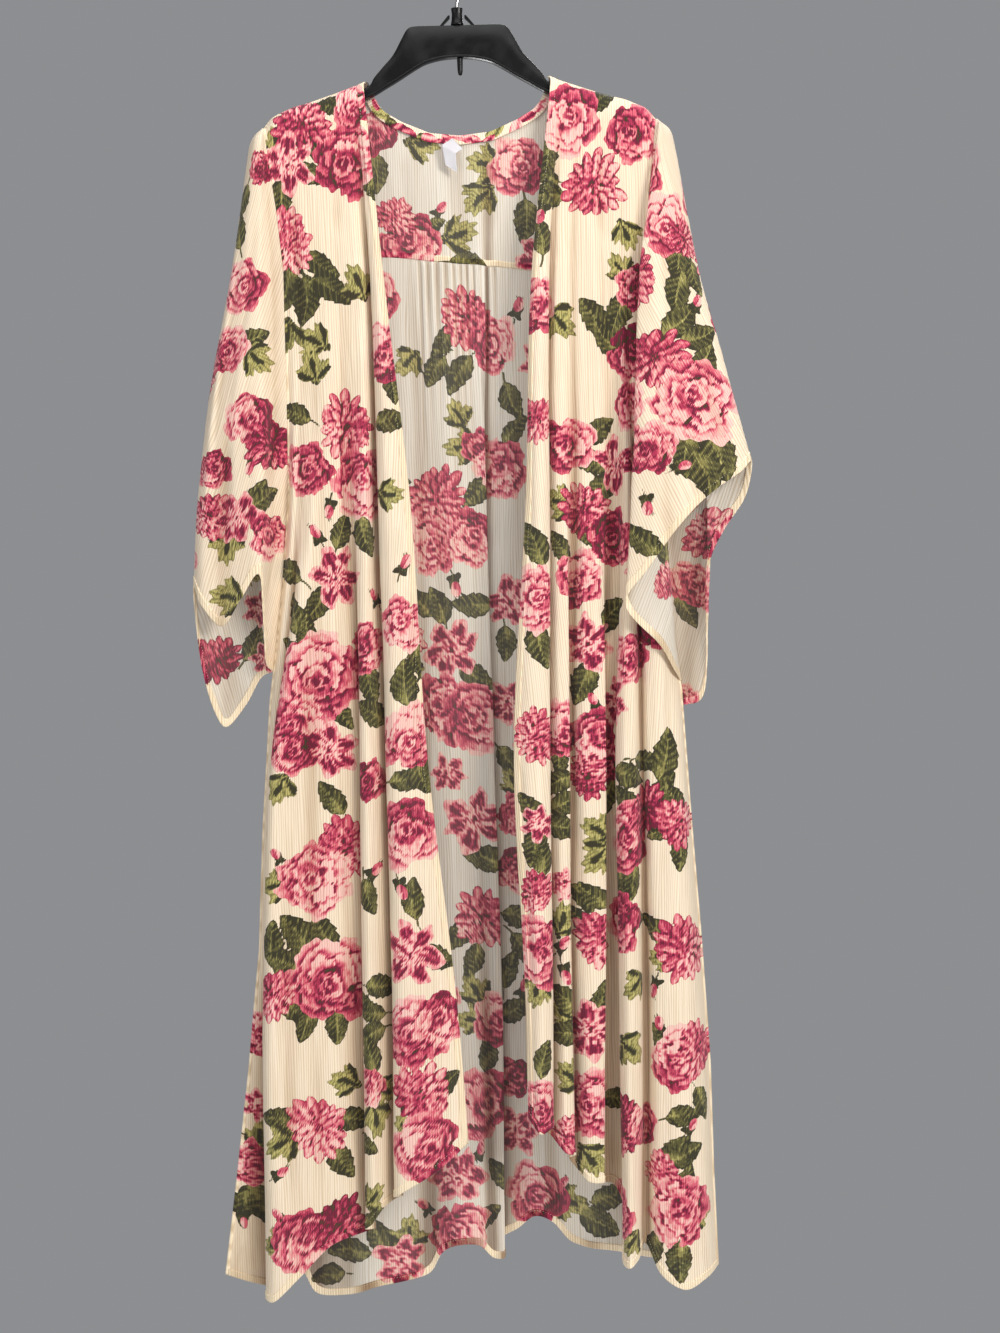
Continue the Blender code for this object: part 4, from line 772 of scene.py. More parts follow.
class FlowerArt:
    """Draws the print's motifs in their own coordinates, in which each one has a radius of about 1."""

    def __init__(self, seed: int) -> None:
        """Keeps the source of the small differences between two flowers of a kind."""
        self.random = np.random.default_rng(seed)

    def rose(self, x: Array, y: Array) -> Ink:
        """Full rose: rings of frilled petals round a cupped heart that lies off its middle.

        A petal is an ellipse with a wavy lip. Its tone is dark at its foot and pale at its lip, has
        streaks along it, and grows with its angle from the side that the light is painted on. Each petal
        shades what it lies on, which draws the dark clefts.

        Args:
            x: First coordinate.
            y: Second coordinate.

        Returns:
            The flower's ink.
        """
        ink = Ink(x)
        draw = self.random.uniform
        spin = draw(0, 2 * math.pi)
        light = draw(0, 2 * math.pi)
        loose = draw(0, 1)
        x, y = unevenly(x, y, 0.045, spin)

        def petal(out: float, angle: float, long: float, wide: float, deep: float, pale: float) -> None:
            """Lays one petal at a distance and an angle from the heart."""
            centre = (out * math.cos(angle), out * math.sin(angle))
            distance, along, across = signed_ellipse(x, y, centre, (long, wide), angle + draw(-0.35, 0.35))
            round_it = np.arctan2(across, along)
            phase = draw(0, 6)
            frill = np.sin(4 * round_it + phase) + 0.7 * np.sin(9 * round_it + 2 * phase)
            distance = distance + (0.018 + 0.03 * loose) * frill
            shadow = 0.5 - 0.5 * math.cos(angle - light)
            middle = pale + (0.42 + 0.24 * (1 - loose)) * shadow + draw(-0.12, 0.14)
            tone = middle + (deep - middle) * np.clip(0.22 - 1.2 * along, 0, 1) ** 0.8
            tone = tone + 0.17 * np.sin(9 * across + 2 * np.sin(3 * along) + phase) * np.clip(1 - along, 0, 1)
            tone = tone + 0.3 * (np.sin(5 * round_it + 3 * phase) > 0.72) * np.clip(0.5 - along, 0, 1)
            lip = (np.hypot(along, across) > 0.8) & (along > -0.2)
            ink.lay(distance, np.where(lip, np.minimum(tone, middle) - 0.16, tone), 0.48, 0.1)

        for count, out, long, wide, deep, pale in (
            (6, 0.6, 0.38, 0.4, 0.98, 0.2), (5, 0.4, 0.38, 0.38, 0.95, 0.1), (4, 0.22, 0.34, 0.34, 0.8, 0.02),
        ):
            start = draw(0, 6)
            for k in range(count):
                angle = start + (k + draw(-0.2, 0.2)) * 2 * math.pi / count
                from_heart = out * draw(0.92, 1.08)
                petal(from_heart, angle, long * draw(0.9, 1.15), wide * draw(0.85, 1.2), deep, pale)
        heart = (-0.14 * math.cos(light), -0.14 * math.sin(light))
        distance, along, across = signed_ellipse(x, y, heart, (0.33, 0.27), spin)
        ink.lay(distance, 0.12 + 0.5 * np.clip(0.3 - along, 0, 1), 0.4, 0.07)
        blot = 0.05 * np.sin(4 * np.arctan2(across, along) + spin)
        distance, along, across = signed_ellipse(x, y, heart, (0.22, 0.19), spin)
        ink.lay(distance + blot, 0.98 - 0.4 * np.clip(along, 0, 1))
        radius = np.hypot(x - heart[0], y - heart[1])
        angle = np.arctan2(y - heart[1], x - heart[0])
        for ring, start in ((0.25, spin), (0.15, spin + 2.4), (0.07, spin + 4.4)):
            gap = np.clip(0.2 - np.cos(angle - start), 0, 1) * 0.16
            ink.lay(0.026 - np.abs(radius - ring) - gap, np.full(x.shape, 0.26))
        return ink

    def dahlia(self, x: Array, y: Array) -> Ink:
        """Flower of four rings of narrow pointed petals of uneven length.

        A petal lies between two radii and its half width is a sine of the way along. Its tip is pale, its
        foot and its rims are dark, and it shades the ring beneath it.

        Args:
            x: First coordinate.
            y: Second coordinate.

        Returns:
            The flower's ink.
        """
        ink = Ink(x)
        spin = self.random.uniform(0, 2 * math.pi)
        light = self.random.uniform(0, 2 * math.pi)
        x, y = unevenly(x, y, 0.04, spin)
        radius = np.hypot(x, y)
        angle = np.arctan2(y, x)
        ink.lay(0.74 + 0.05 * np.sin(9 * angle + spin) - radius, np.full(x.shape, 0.94))
        for count, foot, tip, turn in ((15, 0.3, 1.04, 0.0), (13, 0.16, 0.84, 0.24), (11, 0.06, 0.62, 0.1),
                                       (7, 0.02, 0.38, 0.3)):
            step = 2 * math.pi / count
            index = np.round((angle - spin - turn) / step) % count
            off = (angle - spin - turn + math.pi / count) % step - math.pi / count
            off = off - 0.14 * step * np.sin(index * 5.1 + spin)
            reach = tip * (1 + 0.15 * np.sin(index * 7.3 + spin * 3))
            share = np.clip((radius - foot) / (reach - foot), 0, 1)
            half = step * 0.54 * np.maximum(np.sin(np.pi * share**1.1), 1e-3) ** 0.8
            across = off / half
            distance = np.minimum((1 - np.abs(across)) * half * radius, (reach - radius) * 0.5)
            distance = np.where((radius < foot) | (radius > reach), -0.05, distance)
            shadow = 0.5 - 0.5 * np.cos(angle - light)
            tone = 0.24 + 0.3 * shadow + 0.14 * np.sin(index * 3.7 + spin)
            tone = tone + (1.0 - tone) * np.clip(1.15 - share * 2.1, 0, 1)
            tone = tone - 0.24 * (np.abs(across - 0.25) < 0.2) * (share > 0.35)
            tone = np.where(np.abs(across) > 0.7, np.maximum(tone, 0.78), tone)
            ink.lay(distance, tone, 0.7, 0.045)
        distance, _, _ = signed_ellipse(x, y, (0, 0), (0.12, 0.1), spin)
        ink.lay(distance, np.where(np.sin(9 * angle) > 0.2, 1.3, 0.5))
        return ink

    def pansy(self, x: Array, y: Array) -> Ink:
        """Open flower of dark pointed petals of uneven size, with pale rims and pale rays from its eye.

        Args:
            x: First coordinate.
            y: Second coordinate.

        Returns:
            The flower's ink.
        """
        ink = Ink(x)
        draw = self.random.uniform
        spin = draw(0, 2 * math.pi)
        x, y = unevenly(x, y, 0.05, spin)
        for k in range(6):
            angle = spin + k * math.pi / 3 + draw(-0.2, 0.2)
            out = draw(0.46, 0.6)
            centre = (out * math.cos(angle), out * math.sin(angle))
            radii = (0.46, draw(0.24, 0.38))
            distance, along, across = signed_ellipse(x, y, centre, radii, angle + draw(-0.3, 0.3))
            radius = np.hypot(along, across)
            edge = np.arctan2(across, along)
            distance = distance + 0.03 * np.sin(5 * edge + spin) + 0.05 * np.clip(np.cos(edge), 0, 1) ** 6
            rim = 0.72 + 0.1 * np.sin(3 * edge + k)
            tone = np.where(np.sin(across * 8 + spin + k) > 0.55, 0.6, 0.94)
            tone = np.where((np.sin(across * 9 + spin) > 0.35) & (along < -0.1), 0.1, tone)
            ink.lay(distance, np.where(radius > rim, 0.14 + 0.2 * (np.sin(7 * edge) > 0.3), tone), 0.3, 0.05)
        radius = np.hypot(x, y)
        angle = np.arctan2(y, x)
        ray = (0.27 + 0.14 * np.sin(7 * angle + spin) - radius) * 0.6
        ink.lay(ray, np.where(np.sin(13 * angle) > 0.3, 0.7, 0.04))
        distance, _, _ = signed_ellipse(x, y, (0, 0), (0.08, 0.06))
        ink.lay(distance, np.full(x.shape, 1.3))
        return ink

    def leaf(self, x: Array, y: Array) -> Ink:
        """Toothed leaf from its stalk at x = -1 to its tip at x = 1.

        Its half width is a sine of the way along, less a saw for the teeth. The lower half is darker, and
        the midrib and the slanting side veins are pale.

        Args:
            x: Coordinate along the leaf.
            y: Coordinate across it.

        Returns:
            The leaf's ink.
        """
        ink = Ink(x)
        bend = self.random.uniform(-0.2, 0.2)
        x, y = unevenly(x, y, 0.02, bend * 30)
        y = y + bend * (x * x - 0.4)
        share = np.clip((x + 0.78) / 1.78, 0, 1)
        broad = self.random.uniform(0.5, 0.62)
        half = broad * np.sin(np.pi * share**0.76) ** 0.8
        half = half * (1 - 0.2 * ((share * 5 + 0.3 * np.sign(y)) % 1.0))
        distance = (half - np.abs(y)) * 0.8
        distance = np.where((x < -0.78) | (x > 1.0), -0.3, distance)
        stalk = np.where((x < -0.6) & (x > -1.3), 0.05 - np.abs(y), -0.3)
        vein = (x - 0.75 * np.abs(y)) * 3.9
        near = np.abs(vein - np.round(vein))
        tone = np.where(y > 0, 0.5, 0.8) - 0.16 * np.cos(vein * 2 * np.pi) + 0.2 * np.sin(5 * y + 4 * x)
        tone = np.where((near < 0.1) & (np.abs(y) < half * 0.8), 0.4, tone)
        tone = np.where(np.abs(y) < 0.04 * (1.3 - share), 0.3, tone)
        ink.lay(stalk, np.full(x.shape, 0.6))
        ink.lay(distance, np.where(distance < 0.035, 0.86, tone))
        return ink

    def sprig(self, x: Array, y: Array) -> Ink:
        """Pale lobed leaf: a fan of lobes round its foot, with a dark rib in each.

        The lobes' reach is a cosine of the angle from the foot, times a ripple that has a peak at each
        lobe.

        Args:
            x: Coordinate along the sprig.
            y: Coordinate across it.

        Returns:
            The sprig's ink.
        """
        ink = Ink(x)
        phase = self.random.uniform(0, 6)
        x, y = unevenly(x, y, 0.05, phase)
        radius = np.hypot(x + 0.9, y)
        angle = np.arctan2(y, x + 0.9)
        lobe = np.abs(np.cos(angle * 3.2))
        fan = np.clip(np.cos(np.clip(angle * 0.95, -1.5, 1.5)), 0, 1) ** 0.7
        reach = 1.75 * fan * (0.62 + 0.38 * lobe**0.6)
        reach = reach * (1 - 0.08 * np.sin(angle * 23 + phase))
        distance = (reach - radius) * 0.45
        dark = lobe > 1 - 0.3 * np.clip(1 - radius / 1.25, 0, 1) ** 0.7
        tone = 0.16 + 0.26 * (np.sin(angle * 37 + 3 * radius) > 0.5)
        ink.lay(distance, np.where(dark, 0.95, np.where(distance < 0.03, 0.36, tone)))
        return ink

    def bud(self, x: Array, y: Array) -> tuple[Ink, Ink]:
        """Small bud in its thin sepals.

        Args:
            x: Coordinate along the bud.
            y: Coordinate across it.

        Returns:
            The bud's ink and its sepals' ink.
        """
        bloom = Ink(x)
        x, y = unevenly(x, y, 0.04, self.random.uniform(0, 6))
        distance, along, across = signed_ellipse(x, y, (0.2, 0), (0.5, 0.34))
        tone = np.where(across > 0.15, 0.5, 0.1) + 0.3 * np.clip(-along, 0, 1)
        bloom.lay(distance, np.where(np.abs(across + 0.2 * along) < 0.14, 0.8, tone))
        green = Ink(x)
        blades = (
            (0.5, 0.62, 0.16), (-0.5, 0.62, 0.16), (0.12, 1.3, 0.07), (-0.16, 1.15, 0.07), (0.3, 1.25, 0.06),
            (2.3, 0.7, 0.2), (-2.1, 0.62, 0.18), (1.2, 0.45, 0.12), (-1.3, 0.4, 0.12),
        )
        for turn, long, wide in blades:
            c, s = math.cos(turn), math.sin(turn)
            along = (x + 0.35) * c + y * s
            off = np.abs(-(x + 0.35) * s + y * c + 0.08 * np.sin(3 * along))
            distance = wide * np.sin(np.pi * np.clip(along / long, 0.02, 1) ** 0.8) + 0.02 - off
            distance = np.where((along < 0) | (along > long), -0.2, distance)
            green.lay(distance, np.full(x.shape, 0.5 + wide * 2))
        stalk = np.where((x < -0.3) & (x > -1.3), 0.06 - np.abs(y), -0.3)
        green.lay(stalk, np.full(x.shape, 0.7))
        return bloom, green


def make_object(name: str, points: Array, faces: list[Array], smooth: bool = True) -> bpy.types.Object:
    """Object of a mesh whose points are given in millimetres at the tables' heights.

    Args:
        name: The piece's name.
        points: Points, any shape that ends in three.
        faces: Arrays of faces, each with the same number of corners in a row.
        smooth: Whether it is shaded smooth.

    Returns:
        The object, with its origin at the frame's.
    """
    moved = (np.asarray(points, float).reshape(-1, 3) - (0.0, 0.0, HOOK_DROP)) * MM
    corners = np.concatenate([f.ravel() for f in faces]).astype(np.int32)
    sizes = np.concatenate([np.full(len(f), f.shape[1]) for f in faces])
    starts = np.concatenate([[0], np.cumsum(sizes)[:-1]]).astype(np.int32)
    mesh = bpy.data.meshes.new(name)
    mesh.vertices.add(len(moved))
    mesh.vertices.foreach_set("co", moved.astype(np.float32).ravel())
    mesh.loops.add(len(corners))
    mesh.loops.foreach_set("vertex_index", corners)
    mesh.polygons.add(len(sizes))
    mesh.polygons.foreach_set("loop_start", starts)
    mesh.polygons.foreach_set("use_smooth", np.full(len(sizes), smooth))
    mesh.update(calc_edges=True)
    mesh.validate()
    made = bpy.data.objects.new(name, mesh)
    bpy.context.scene.collection.objects.link(made)
    return made


def put_map(made: bpy.types.Object, flat: Array) -> None:
    """Gives a mesh its UV map from a flat coordinate in metres for each point.

    Args:
        made: The object.
        flat: Points by two.
    """
    mesh = made.data
    corners = np.empty(len(mesh.loops), np.int32)
    mesh.loops.foreach_get("vertex_index", corners)
    layer = mesh.uv_layers.new(name="cloth")
    layer.data.foreach_set("uv", flat.reshape(-1, 2)[corners].astype(np.float32).ravel())


def put_values(made: bpy.types.Object, values: dict[str, Array]) -> None:
    """Gives a mesh named numbers, one for each point.

    Args:
        made: The object.
        values: Name and numbers.
    """
    for name, numbers in values.items():
        layer = made.data.attributes.new(name, "FLOAT", "POINT")
        layer.data.foreach_set("value", numbers.astype(np.float32).ravel())


def box_mean(values: Array, half: int, axis: int, odd: bool = False) -> Array:
    """Mean of numbers over a box along one axis.

    Args:
        values: The numbers.
        half: Steps that the box reaches to each side.
        axis: The axis.
        odd: Whether the ends are carried on turned over, else by their last value.

    Returns:
        The means.
    """
    pads = [(half + 1, half) if k == axis else (0, 0) for k in range(values.ndim)]
    ends = {"mode": "reflect", "reflect_type": "odd"} if odd else {"mode": "edge"}
    total = np.cumsum(np.pad(values, pads, **ends), axis=axis)
    first = np.arange(values.shape[axis])
    wide = 2 * half + 1
    return (np.take(total, first + wide, axis=axis) - np.take(total, first, axis=axis)) / wide


def flatten(points: Array) -> Array:
    """Coordinate across a cloth, whose other coordinate is the height, with the least stretch.

    Along a row it should grow as the distance seen from above, and down a column it should change as
    the column slides along its row. Folded cloth can't have both, so this is the least-squares
    answer. It solves a Poisson equation on the grid by cosine waves.

    Args:
        points: Rows by columns by three.

    Returns:
        The coordinate at each point.
    """
    seen = points[..., :2]
    run = np.linalg.norm(np.diff(seen, axis=1), axis=2)
    along = unit(np.gradient(seen, axis=1))
    slide = (np.diff(seen, axis=0) * (along[1:] + along[:-1]) / 2).sum(axis=2)
    pull = np.pad(run, ((0, 0), (1, 0))) - np.pad(run, ((0, 0), (0, 1)))
    pull += np.pad(slide, ((1, 0), (0, 0))) - np.pad(slide, ((0, 1), (0, 0)))
    mirrored = np.concatenate([pull, pull[::-1]])
    mirrored = np.concatenate([mirrored, mirrored[:, ::-1]], axis=1)
    stiff = [2 - 2 * np.cos(2 * np.pi * np.fft.fftfreq(size)) for size in mirrored.shape]
    weight = stiff[0][:, None] + stiff[1][None, :]
    weight[0, 0] = 1.0
    waves = np.fft.fft2(mirrored) / weight
    return np.fft.ifft2(waves).real[: len(pull), : pull.shape[1]]


def grid_quads(rows: int, columns: int, flip: bool = False, around: bool = False) -> Array:
    """Faces of a grid of points.

    Args:
        rows: Rows of points.
        columns: Points in a row.
        flip: Whether the faces look the other way.
        around: Whether each row closes on itself.

    Returns:
        Four corners for each face.
    """
    r = np.arange(rows - 1)[:, None] * columns
    c = np.arange(columns if around else columns - 1)[None, :]
    d = (c + 1) % columns
    quads = np.stack([r + c, r + d, r + d + columns, r + c + columns], axis=-1).reshape(-1, 4)
    return quads[:, ::-1] if flip else quads


def tube_faces(rings: Array) -> tuple[Array, list[Array]]:
    """Points and faces of a closed tube whose ends are closed by fans, with its faces outwards.

    Args:
        rings: Rings by points of a ring by three.

    Returns:
        The points and the faces.
    """
    count, size, _ = rings.shape
    points = np.concatenate([rings.reshape(-1, 3), rings[[0, -1]].mean(axis=1)])
    quads = grid_quads(count, size, around=True)
    c = np.arange(size)
    d = (c + 1) % size
    end = (count - 1) * size
    first = np.stack([d, c, np.full(size, count * size)], axis=-1)
    last = np.stack([end + c, end + d, np.full(size, count * size + 1)], axis=-1)
    ends = np.concatenate([first, last])
    centre = points.mean(axis=0)
    halves = np.concatenate([quads[:, :3], quads[:, [0, 2, 3]], ends])
    a, b, e = (points[halves[:, k]] - centre for k in range(3))
    if np.einsum("ij,ij->", a, np.cross(b, e)) < 0:
        quads, ends = quads[:, ::-1], ends[:, ::-1]
    return points, [quads, ends]


def make_tube(name: str, rings: Array) -> bpy.types.Object:
    """Object of a closed tube through rings of points."""
    corners, faces = tube_faces(rings)
    return make_object(name, corners, faces)


def with_ends(grid: Array) -> Array:
    """Values at a tube's points: those of its rings, then those of the two points that close it."""
    return np.concatenate([grid.reshape(-1, *grid.shape[2:]), grid[0, :1], grid[-1, :1]])


# the print's layers, and 'valley': the depth in a fold that the material paints as shade
PRINT_AND_SHADE_LAYERS = ("flower", "flower_tone", "leaf", "leaf_tone", "valley")


class Sheet:
    """A cloth piece's surface, its flat coordinates and its print, on one grid of points."""

    def __init__(self, name: str, points: Array, outward: float, mirror: bool = False) -> None:
        """Works out the flat coordinates, with nothing printed.

        Args:
            name: The piece's name.
            points: Rows by columns by three.
            outward: 1 where the grid's own normals point out of the coat, else -1.
            mirror: Whether the columns run to the left on the side that shows.
        """
        self.name = name
        self.points = points
        self.outward = outward
        self.from_first = run_length(points[..., :2])
        self.reach = self.from_first[:, -1:]
        self.across = flatten(points) * (-1.0 if mirror else 1.0)
        self.height = points[..., 2].copy()
        self.layers = {key: np.zeros(self.across.shape) for key in PRINT_AND_SHADE_LAYERS}
        self.layers["flower"][:] = FAR
        self.layers["leaf"][:] = FAR

    def normals(self) -> Array:
        """Unit normals that point out of the coat."""
        return facing(self.points) * self.outward

    def seat(self, x: float, z: float) -> tuple[float, float]:
        """Flat coordinates of the frontmost point of the piece at an X and a height.

        Args:
            x: X.
            z: Height.

        Returns:
            The coordinates across and up.
        """
        away = np.hypot(self.points[..., 0] - x, self.points[..., 2] - z)
        close = away < max(SEAT_NEAR, float(away.min()) + 0.5)
        depth = np.where(close, self.points[..., 1] + 0.2 * away, np.inf)
        r, c = np.unravel_index(int(np.argmin(depth)), depth.shape)
        return float(self.across[r, c]), float(self.height[r, c])

    def stamp(self, art: FlowerArt, motif: Motif, place: tuple[float, float], size: float, turn: float,
              tone: float) -> None:
        """Prints one motif.

        Args:
            art: Draws the motifs.
            motif: Which one.
            place: Flat coordinates of its middle.
            size: Half its width.
            turn: Angle, in degrees.
            tone: How much darker it is printed.
        """
        du, dv = self.across - place[0], self.height - place[1]
        near = (np.abs(du) < MOTIF_REACH * size) & (np.abs(dv) < MOTIF_REACH * size)
        if not near.any():
            return
        c, s = math.cos(math.radians(turn)), math.sin(math.radians(turn))
        x = (du[near] * c + dv[near] * s) / size
        y = (-du[near] * s + dv[near] * c) / size
        drawn = getattr(art, motif.value)(x, y)
        inks = [(drawn, "flower" if motif in FLOWERS else "leaf")]
        if motif is BUD:
            inks = zip(drawn, ("flower", "leaf"))
        for ink, layer in inks:
            distances, tones = self.layers[layer], self.layers[layer + "_tone"]
            old = distances[near]
            distance = ink.distance * size
            on = (ink.distance > 0) | (distance > old)
            shift = tone if layer == "flower" else tone * LEAF_TONE
            tones[near] = np.where(on, ink.tone + shift, tones[near])
            distances[near] = np.maximum(distance, old)

    def press(self, creases: tuple) -> None:
        """Pushes the listed soft creases into the cloth.

        A crease is a bell across the cloth times a smooth rise and fall along it, and it wanders a little
        sideways. It fades near the piece's own side edges and its top.

        Args:
            creases: X, height, half length, depth and half width of each.
        """
        push = np.zeros(self.across.shape)
        for x, z, half, depth, width in creases:
            u, v = self.seat(x, z)
            along = (self.height - v) / half
            wander = CREASE_WANDER * np.sin(along * 2.6 + x)
            bell = np.exp(-(((self.across - u - wander) / width) ** 2))
            push += depth * bell * soft_step((1 - np.abs(along)) * 1.6)
        self.raise_by(push)

    def crinkle(self, grain: float) -> None:
        """Gives the cloth its crinkle: two fine uneven waves across it and one broad one.

        Args:
            grain: Turn of the cloth's grain, in degrees.
        """
        c, s = math.cos(math.radians(grain)), math.sin(math.radians(grain))
        u, v = self.across * c - self.height * s, self.across * s + self.height * c
        uneven = 0.6 + 0.4 * np.sin(v / 37 + u / 19)
        push = 0.1 * np.sin(2 * np.pi * (u / 8.3 + 0.5 * np.sin(v / 33))) * uneven
        push += 0.08 * np.sin(2 * np.pi * (u / 5.1 + 0.4 * np.sin(v / 21 + 2)))
        push += 0.55 * np.sin(2 * np.pi * (u / 43 + 0.35 * np.sin(v / 170 + 1))) * np.sin(v / 120 + u / 60)
        self.raise_by(push)

    def gather(self, left: float, right: float, below: float, deep: float) -> None:
        """Draws the cloth's top edge into small soft pleats that die out further down.

        Each pleat is a wave across the cloth. Its height falls off below the seam and outside the
        gathered stretch.

        Args:
            left: X where the gathers start.
            right: X where they end.
            below: Height over which they die out.
            deep: Height of a pleat.
        """
        x = self.points[..., 0]
        drop = self.points[0:1, :, 2] - self.points[..., 2]
        stretch = soft_step((x - left) / 14) * soft_step((right - x) / 14)
        length = below * (0.6 + 0.4 * np.sin(self.across[0:1] * 0.9) ** 2)
        fall = np.exp(-((drop / length) ** 2)) * soft_step(drop / 5 + 0.25)
        wave = np.sin(2 * np.pi * (self.across / PLEAT + 0.25 * np.sin(self.across / 11)))
        self.raise_by(deep * wave * stretch * fall)

    def mark_valleys(self) -> None:
        """Marks how deep each point lies in a fold, against the mean of the cloth about it."""
        # the material darkens the cloth by this depth, as painted shade
        mean = box_mean(box_mean(self.points, VALLEY_SPAN, 0, odd=True), VALLEY_SPAN, 1, odd=True)
        self.layers["valley"] = ((mean - self.points) * self.normals()).sum(axis=2)

    def raise_by(self, push: Array) -> None:
        """Moves the points out by a height, which fades near the side edges and, but for the skirt, the top.

        Args:
            push: Height at each point.
        """
        share = soft_step(np.minimum(self.from_first, self.reach - self.from_first) / SIDE_FADE)
        if self.name != "back_skirt":
            share = share * soft_step((self.points[0:1, :, 2] - self.points[..., 2]) / TOP_FADE)
        self.points = self.points + self.normals() * (push * share)[..., None]

    def lines_from(self, edge: Edge, distances: list[float]) -> tuple[Array, Array, Array, dict[str, Array]]:
        """Lines on the cloth that run beside one of its edges.

        Each line is found by walking from the edge into the cloth along the grid. Where the grid meets
        the edge at a slant, the walk is longer, so that the line keeps its distance from the edge.

        Args:
            edge: The edge.
            distances: How far each line lies from it. A negative distance lies outside the cloth.

        Returns:
            Places by lines arrays: points, outward normals, flat coordinates, print and painted-shade layers.
        """
        def turn(grid: Array) -> Array:
            """Grid with the edge as its first column."""
            if edge in (Edge.TOP, Edge.FOOT):
                grid = grid.swapaxes(0, 1)
            return grid[:, ::-1] if edge in (Edge.FOOT, Edge.LAST) else grid

        keep = int(max(distances) / STEP * 5) + 6
        points = turn(self.points)[:, :keep]
        far = run_length(points)
        edge_run = np.gradient(points[:, 0], axis=0)
        inward = points[:, 3] - points[:, 0]
        slant = np.linalg.norm(np.cross(edge_run, inward), axis=1)
        slant /= np.maximum(np.linalg.norm(edge_run, axis=1) * np.linalg.norm(inward, axis=1), TINY)
        slant = np.convolve(np.pad(slant, 4, mode="edge"), np.full(9, 1 / 9), mode="valid")
        far = far * np.clip(slant, LEAST_SLANT, 1.0)[:, None]
        flat = np.stack([self.across, self.height], axis=-1)
        grids = [points, turn(self.normals())[:, :keep], turn(flat)[:, :keep]]
        grids += [turn(self.layers[key])[:, :keep, None] for key in PRINT_AND_SHADE_LAYERS]
        picked = []
        for grid in grids:
            lines = []
            for distance in distances:
                i = np.clip((far <= distance).sum(axis=1) - 1, 0, far.shape[1] - 2)
                row = np.arange(len(far))
                t = ((distance - far[row, i]) / np.maximum(far[row, i + 1] - far[row, i], 1e-6))[:, None]
                lines.append(grid[row, i] * (1 - t) + grid[row, i + 1] * t)
            picked.append(np.stack(lines, axis=1))
        layers = {key: value[..., 0] for key, value in zip(PRINT_AND_SHADE_LAYERS, picked[3:])}
        return picked[0], unit(picked[1]), picked[2], layers


def linear(colour: Colour) -> tuple[float, float, float, float]:
    """Scene colour of a colour that is given as it looks on a screen, each channel from 0 to 255."""
    c = np.asarray(colour, float) / 255
    value = np.where(c <= 0.04045, c / 12.92, ((c + 0.055) / 1.055) ** 2.4)
    return (*[float(x) for x in value], 1.0)


class Tree:
    """Short ways to add and join the nodes of one node tree."""

    def __init__(self, tree: bpy.types.NodeTree) -> None:
        """Keeps the tree."""
        self.tree = tree

    def feed(self, socket: bpy.types.NodeSocket, value: object) -> None:
        """Joins a socket to an output, or sets its value.

        Args:
            socket: The input.
            value: An output socket, or a number, vector or colour.
        """
        if isinstance(value, bpy.types.NodeSocket):
            self.tree.links.new(value, socket)
        else:
            socket.default_value = value

    def add(self, kind: str, inputs: dict | None = None, **settings: object) -> bpy.types.Node:
        """Adds a node.

        Args:
            kind: The node's type.
            inputs: Value or output for each input, by name or number.
            settings: The node's own settings.

        Returns:
            The node.
        """
        made = self.tree.nodes.new(kind)
        for name, value in settings.items():
            setattr(made, name, value)
        for socket, value in (inputs or {}).items():
            self.feed(made.inputs[socket], value)
        return made

    def math(self, operation: str, a: object, b: object = 0.0, c: object = 0.0) -> bpy.types.NodeSocket:
        """Output of a Math node."""
        return self.add("ShaderNodeMath", {0: a, 1: b, 2: c}, operation=operation).outputs[0]

    def mix(self, share: object, a: object, b: object, blend: str = "MIX") -> bpy.types.NodeSocket:
        """Output of a node that mixes two colours."""
        made = self.add("ShaderNodeMix", {0: share, 6: a, 7: b}, data_type="RGBA", blend_type=blend)
        return made.outputs[2]

    def scale(self, vector: object, by: tuple[float, float, float]) -> bpy.types.NodeSocket:
        """Output of a node that stretches a vector."""
        return self.add("ShaderNodeVectorMath", {0: vector, 1: by}, operation="MULTIPLY").outputs[0]

    def noise(self, vector: object, detail: float = 2.0) -> bpy.types.NodeSocket:
        """Output of a noise texture of scale 1 on a vector."""
        return self.add("ShaderNodeTexNoise", {"Vector": vector, "Scale": 1.0, "Detail": detail}).outputs[0]

    def span(self, value: object, low: float, high: float, first: float, last: float) -> bpy.types.NodeSocket:
        """Output of a node that carries one range onto another and stops at its ends."""
        return self.add("ShaderNodeMapRange", {0: value, 1: low, 2: high, 3: first, 4: last}).outputs[0]

    def value(self, attribute: str) -> bpy.types.NodeSocket:
        """Number that a mesh holds under a name."""
        return self.add("ShaderNodeAttribute", attribute_name=attribute).outputs["Fac"]

    def bump(self, shader: bpy.types.Node, strength: float, distance: float, height: object) -> None:
        """Bends a shader's normal by a height."""
        made = self.add("ShaderNodeBump", {"Strength": strength, "Distance": distance, "Height": height})
        self.feed(shader.inputs["Normal"], made.outputs[0])

    def ramp(self, value: object, stops: tuple, crisp: bool = True) -> bpy.types.NodeSocket:
        """Colour that a value has in a ramp.

        Args:
            value: The value.
            stops: Place and colour of each stop.
            crisp: Whether the colours meet in hard lines, as inks do.

        Returns:
            The colour's output.
        """
        made = self.add("ShaderNodeValToRGB", {0: value})
        ramp = made.color_ramp
        ramp.interpolation = "CONSTANT" if crisp else "LINEAR"
        for k, (place, colour) in enumerate(stops):
            stop = ramp.elements[k] if k < 2 else ramp.elements.new(place)
            stop.position = place
            stop.color = linear(colour)
        return made.outputs[0]


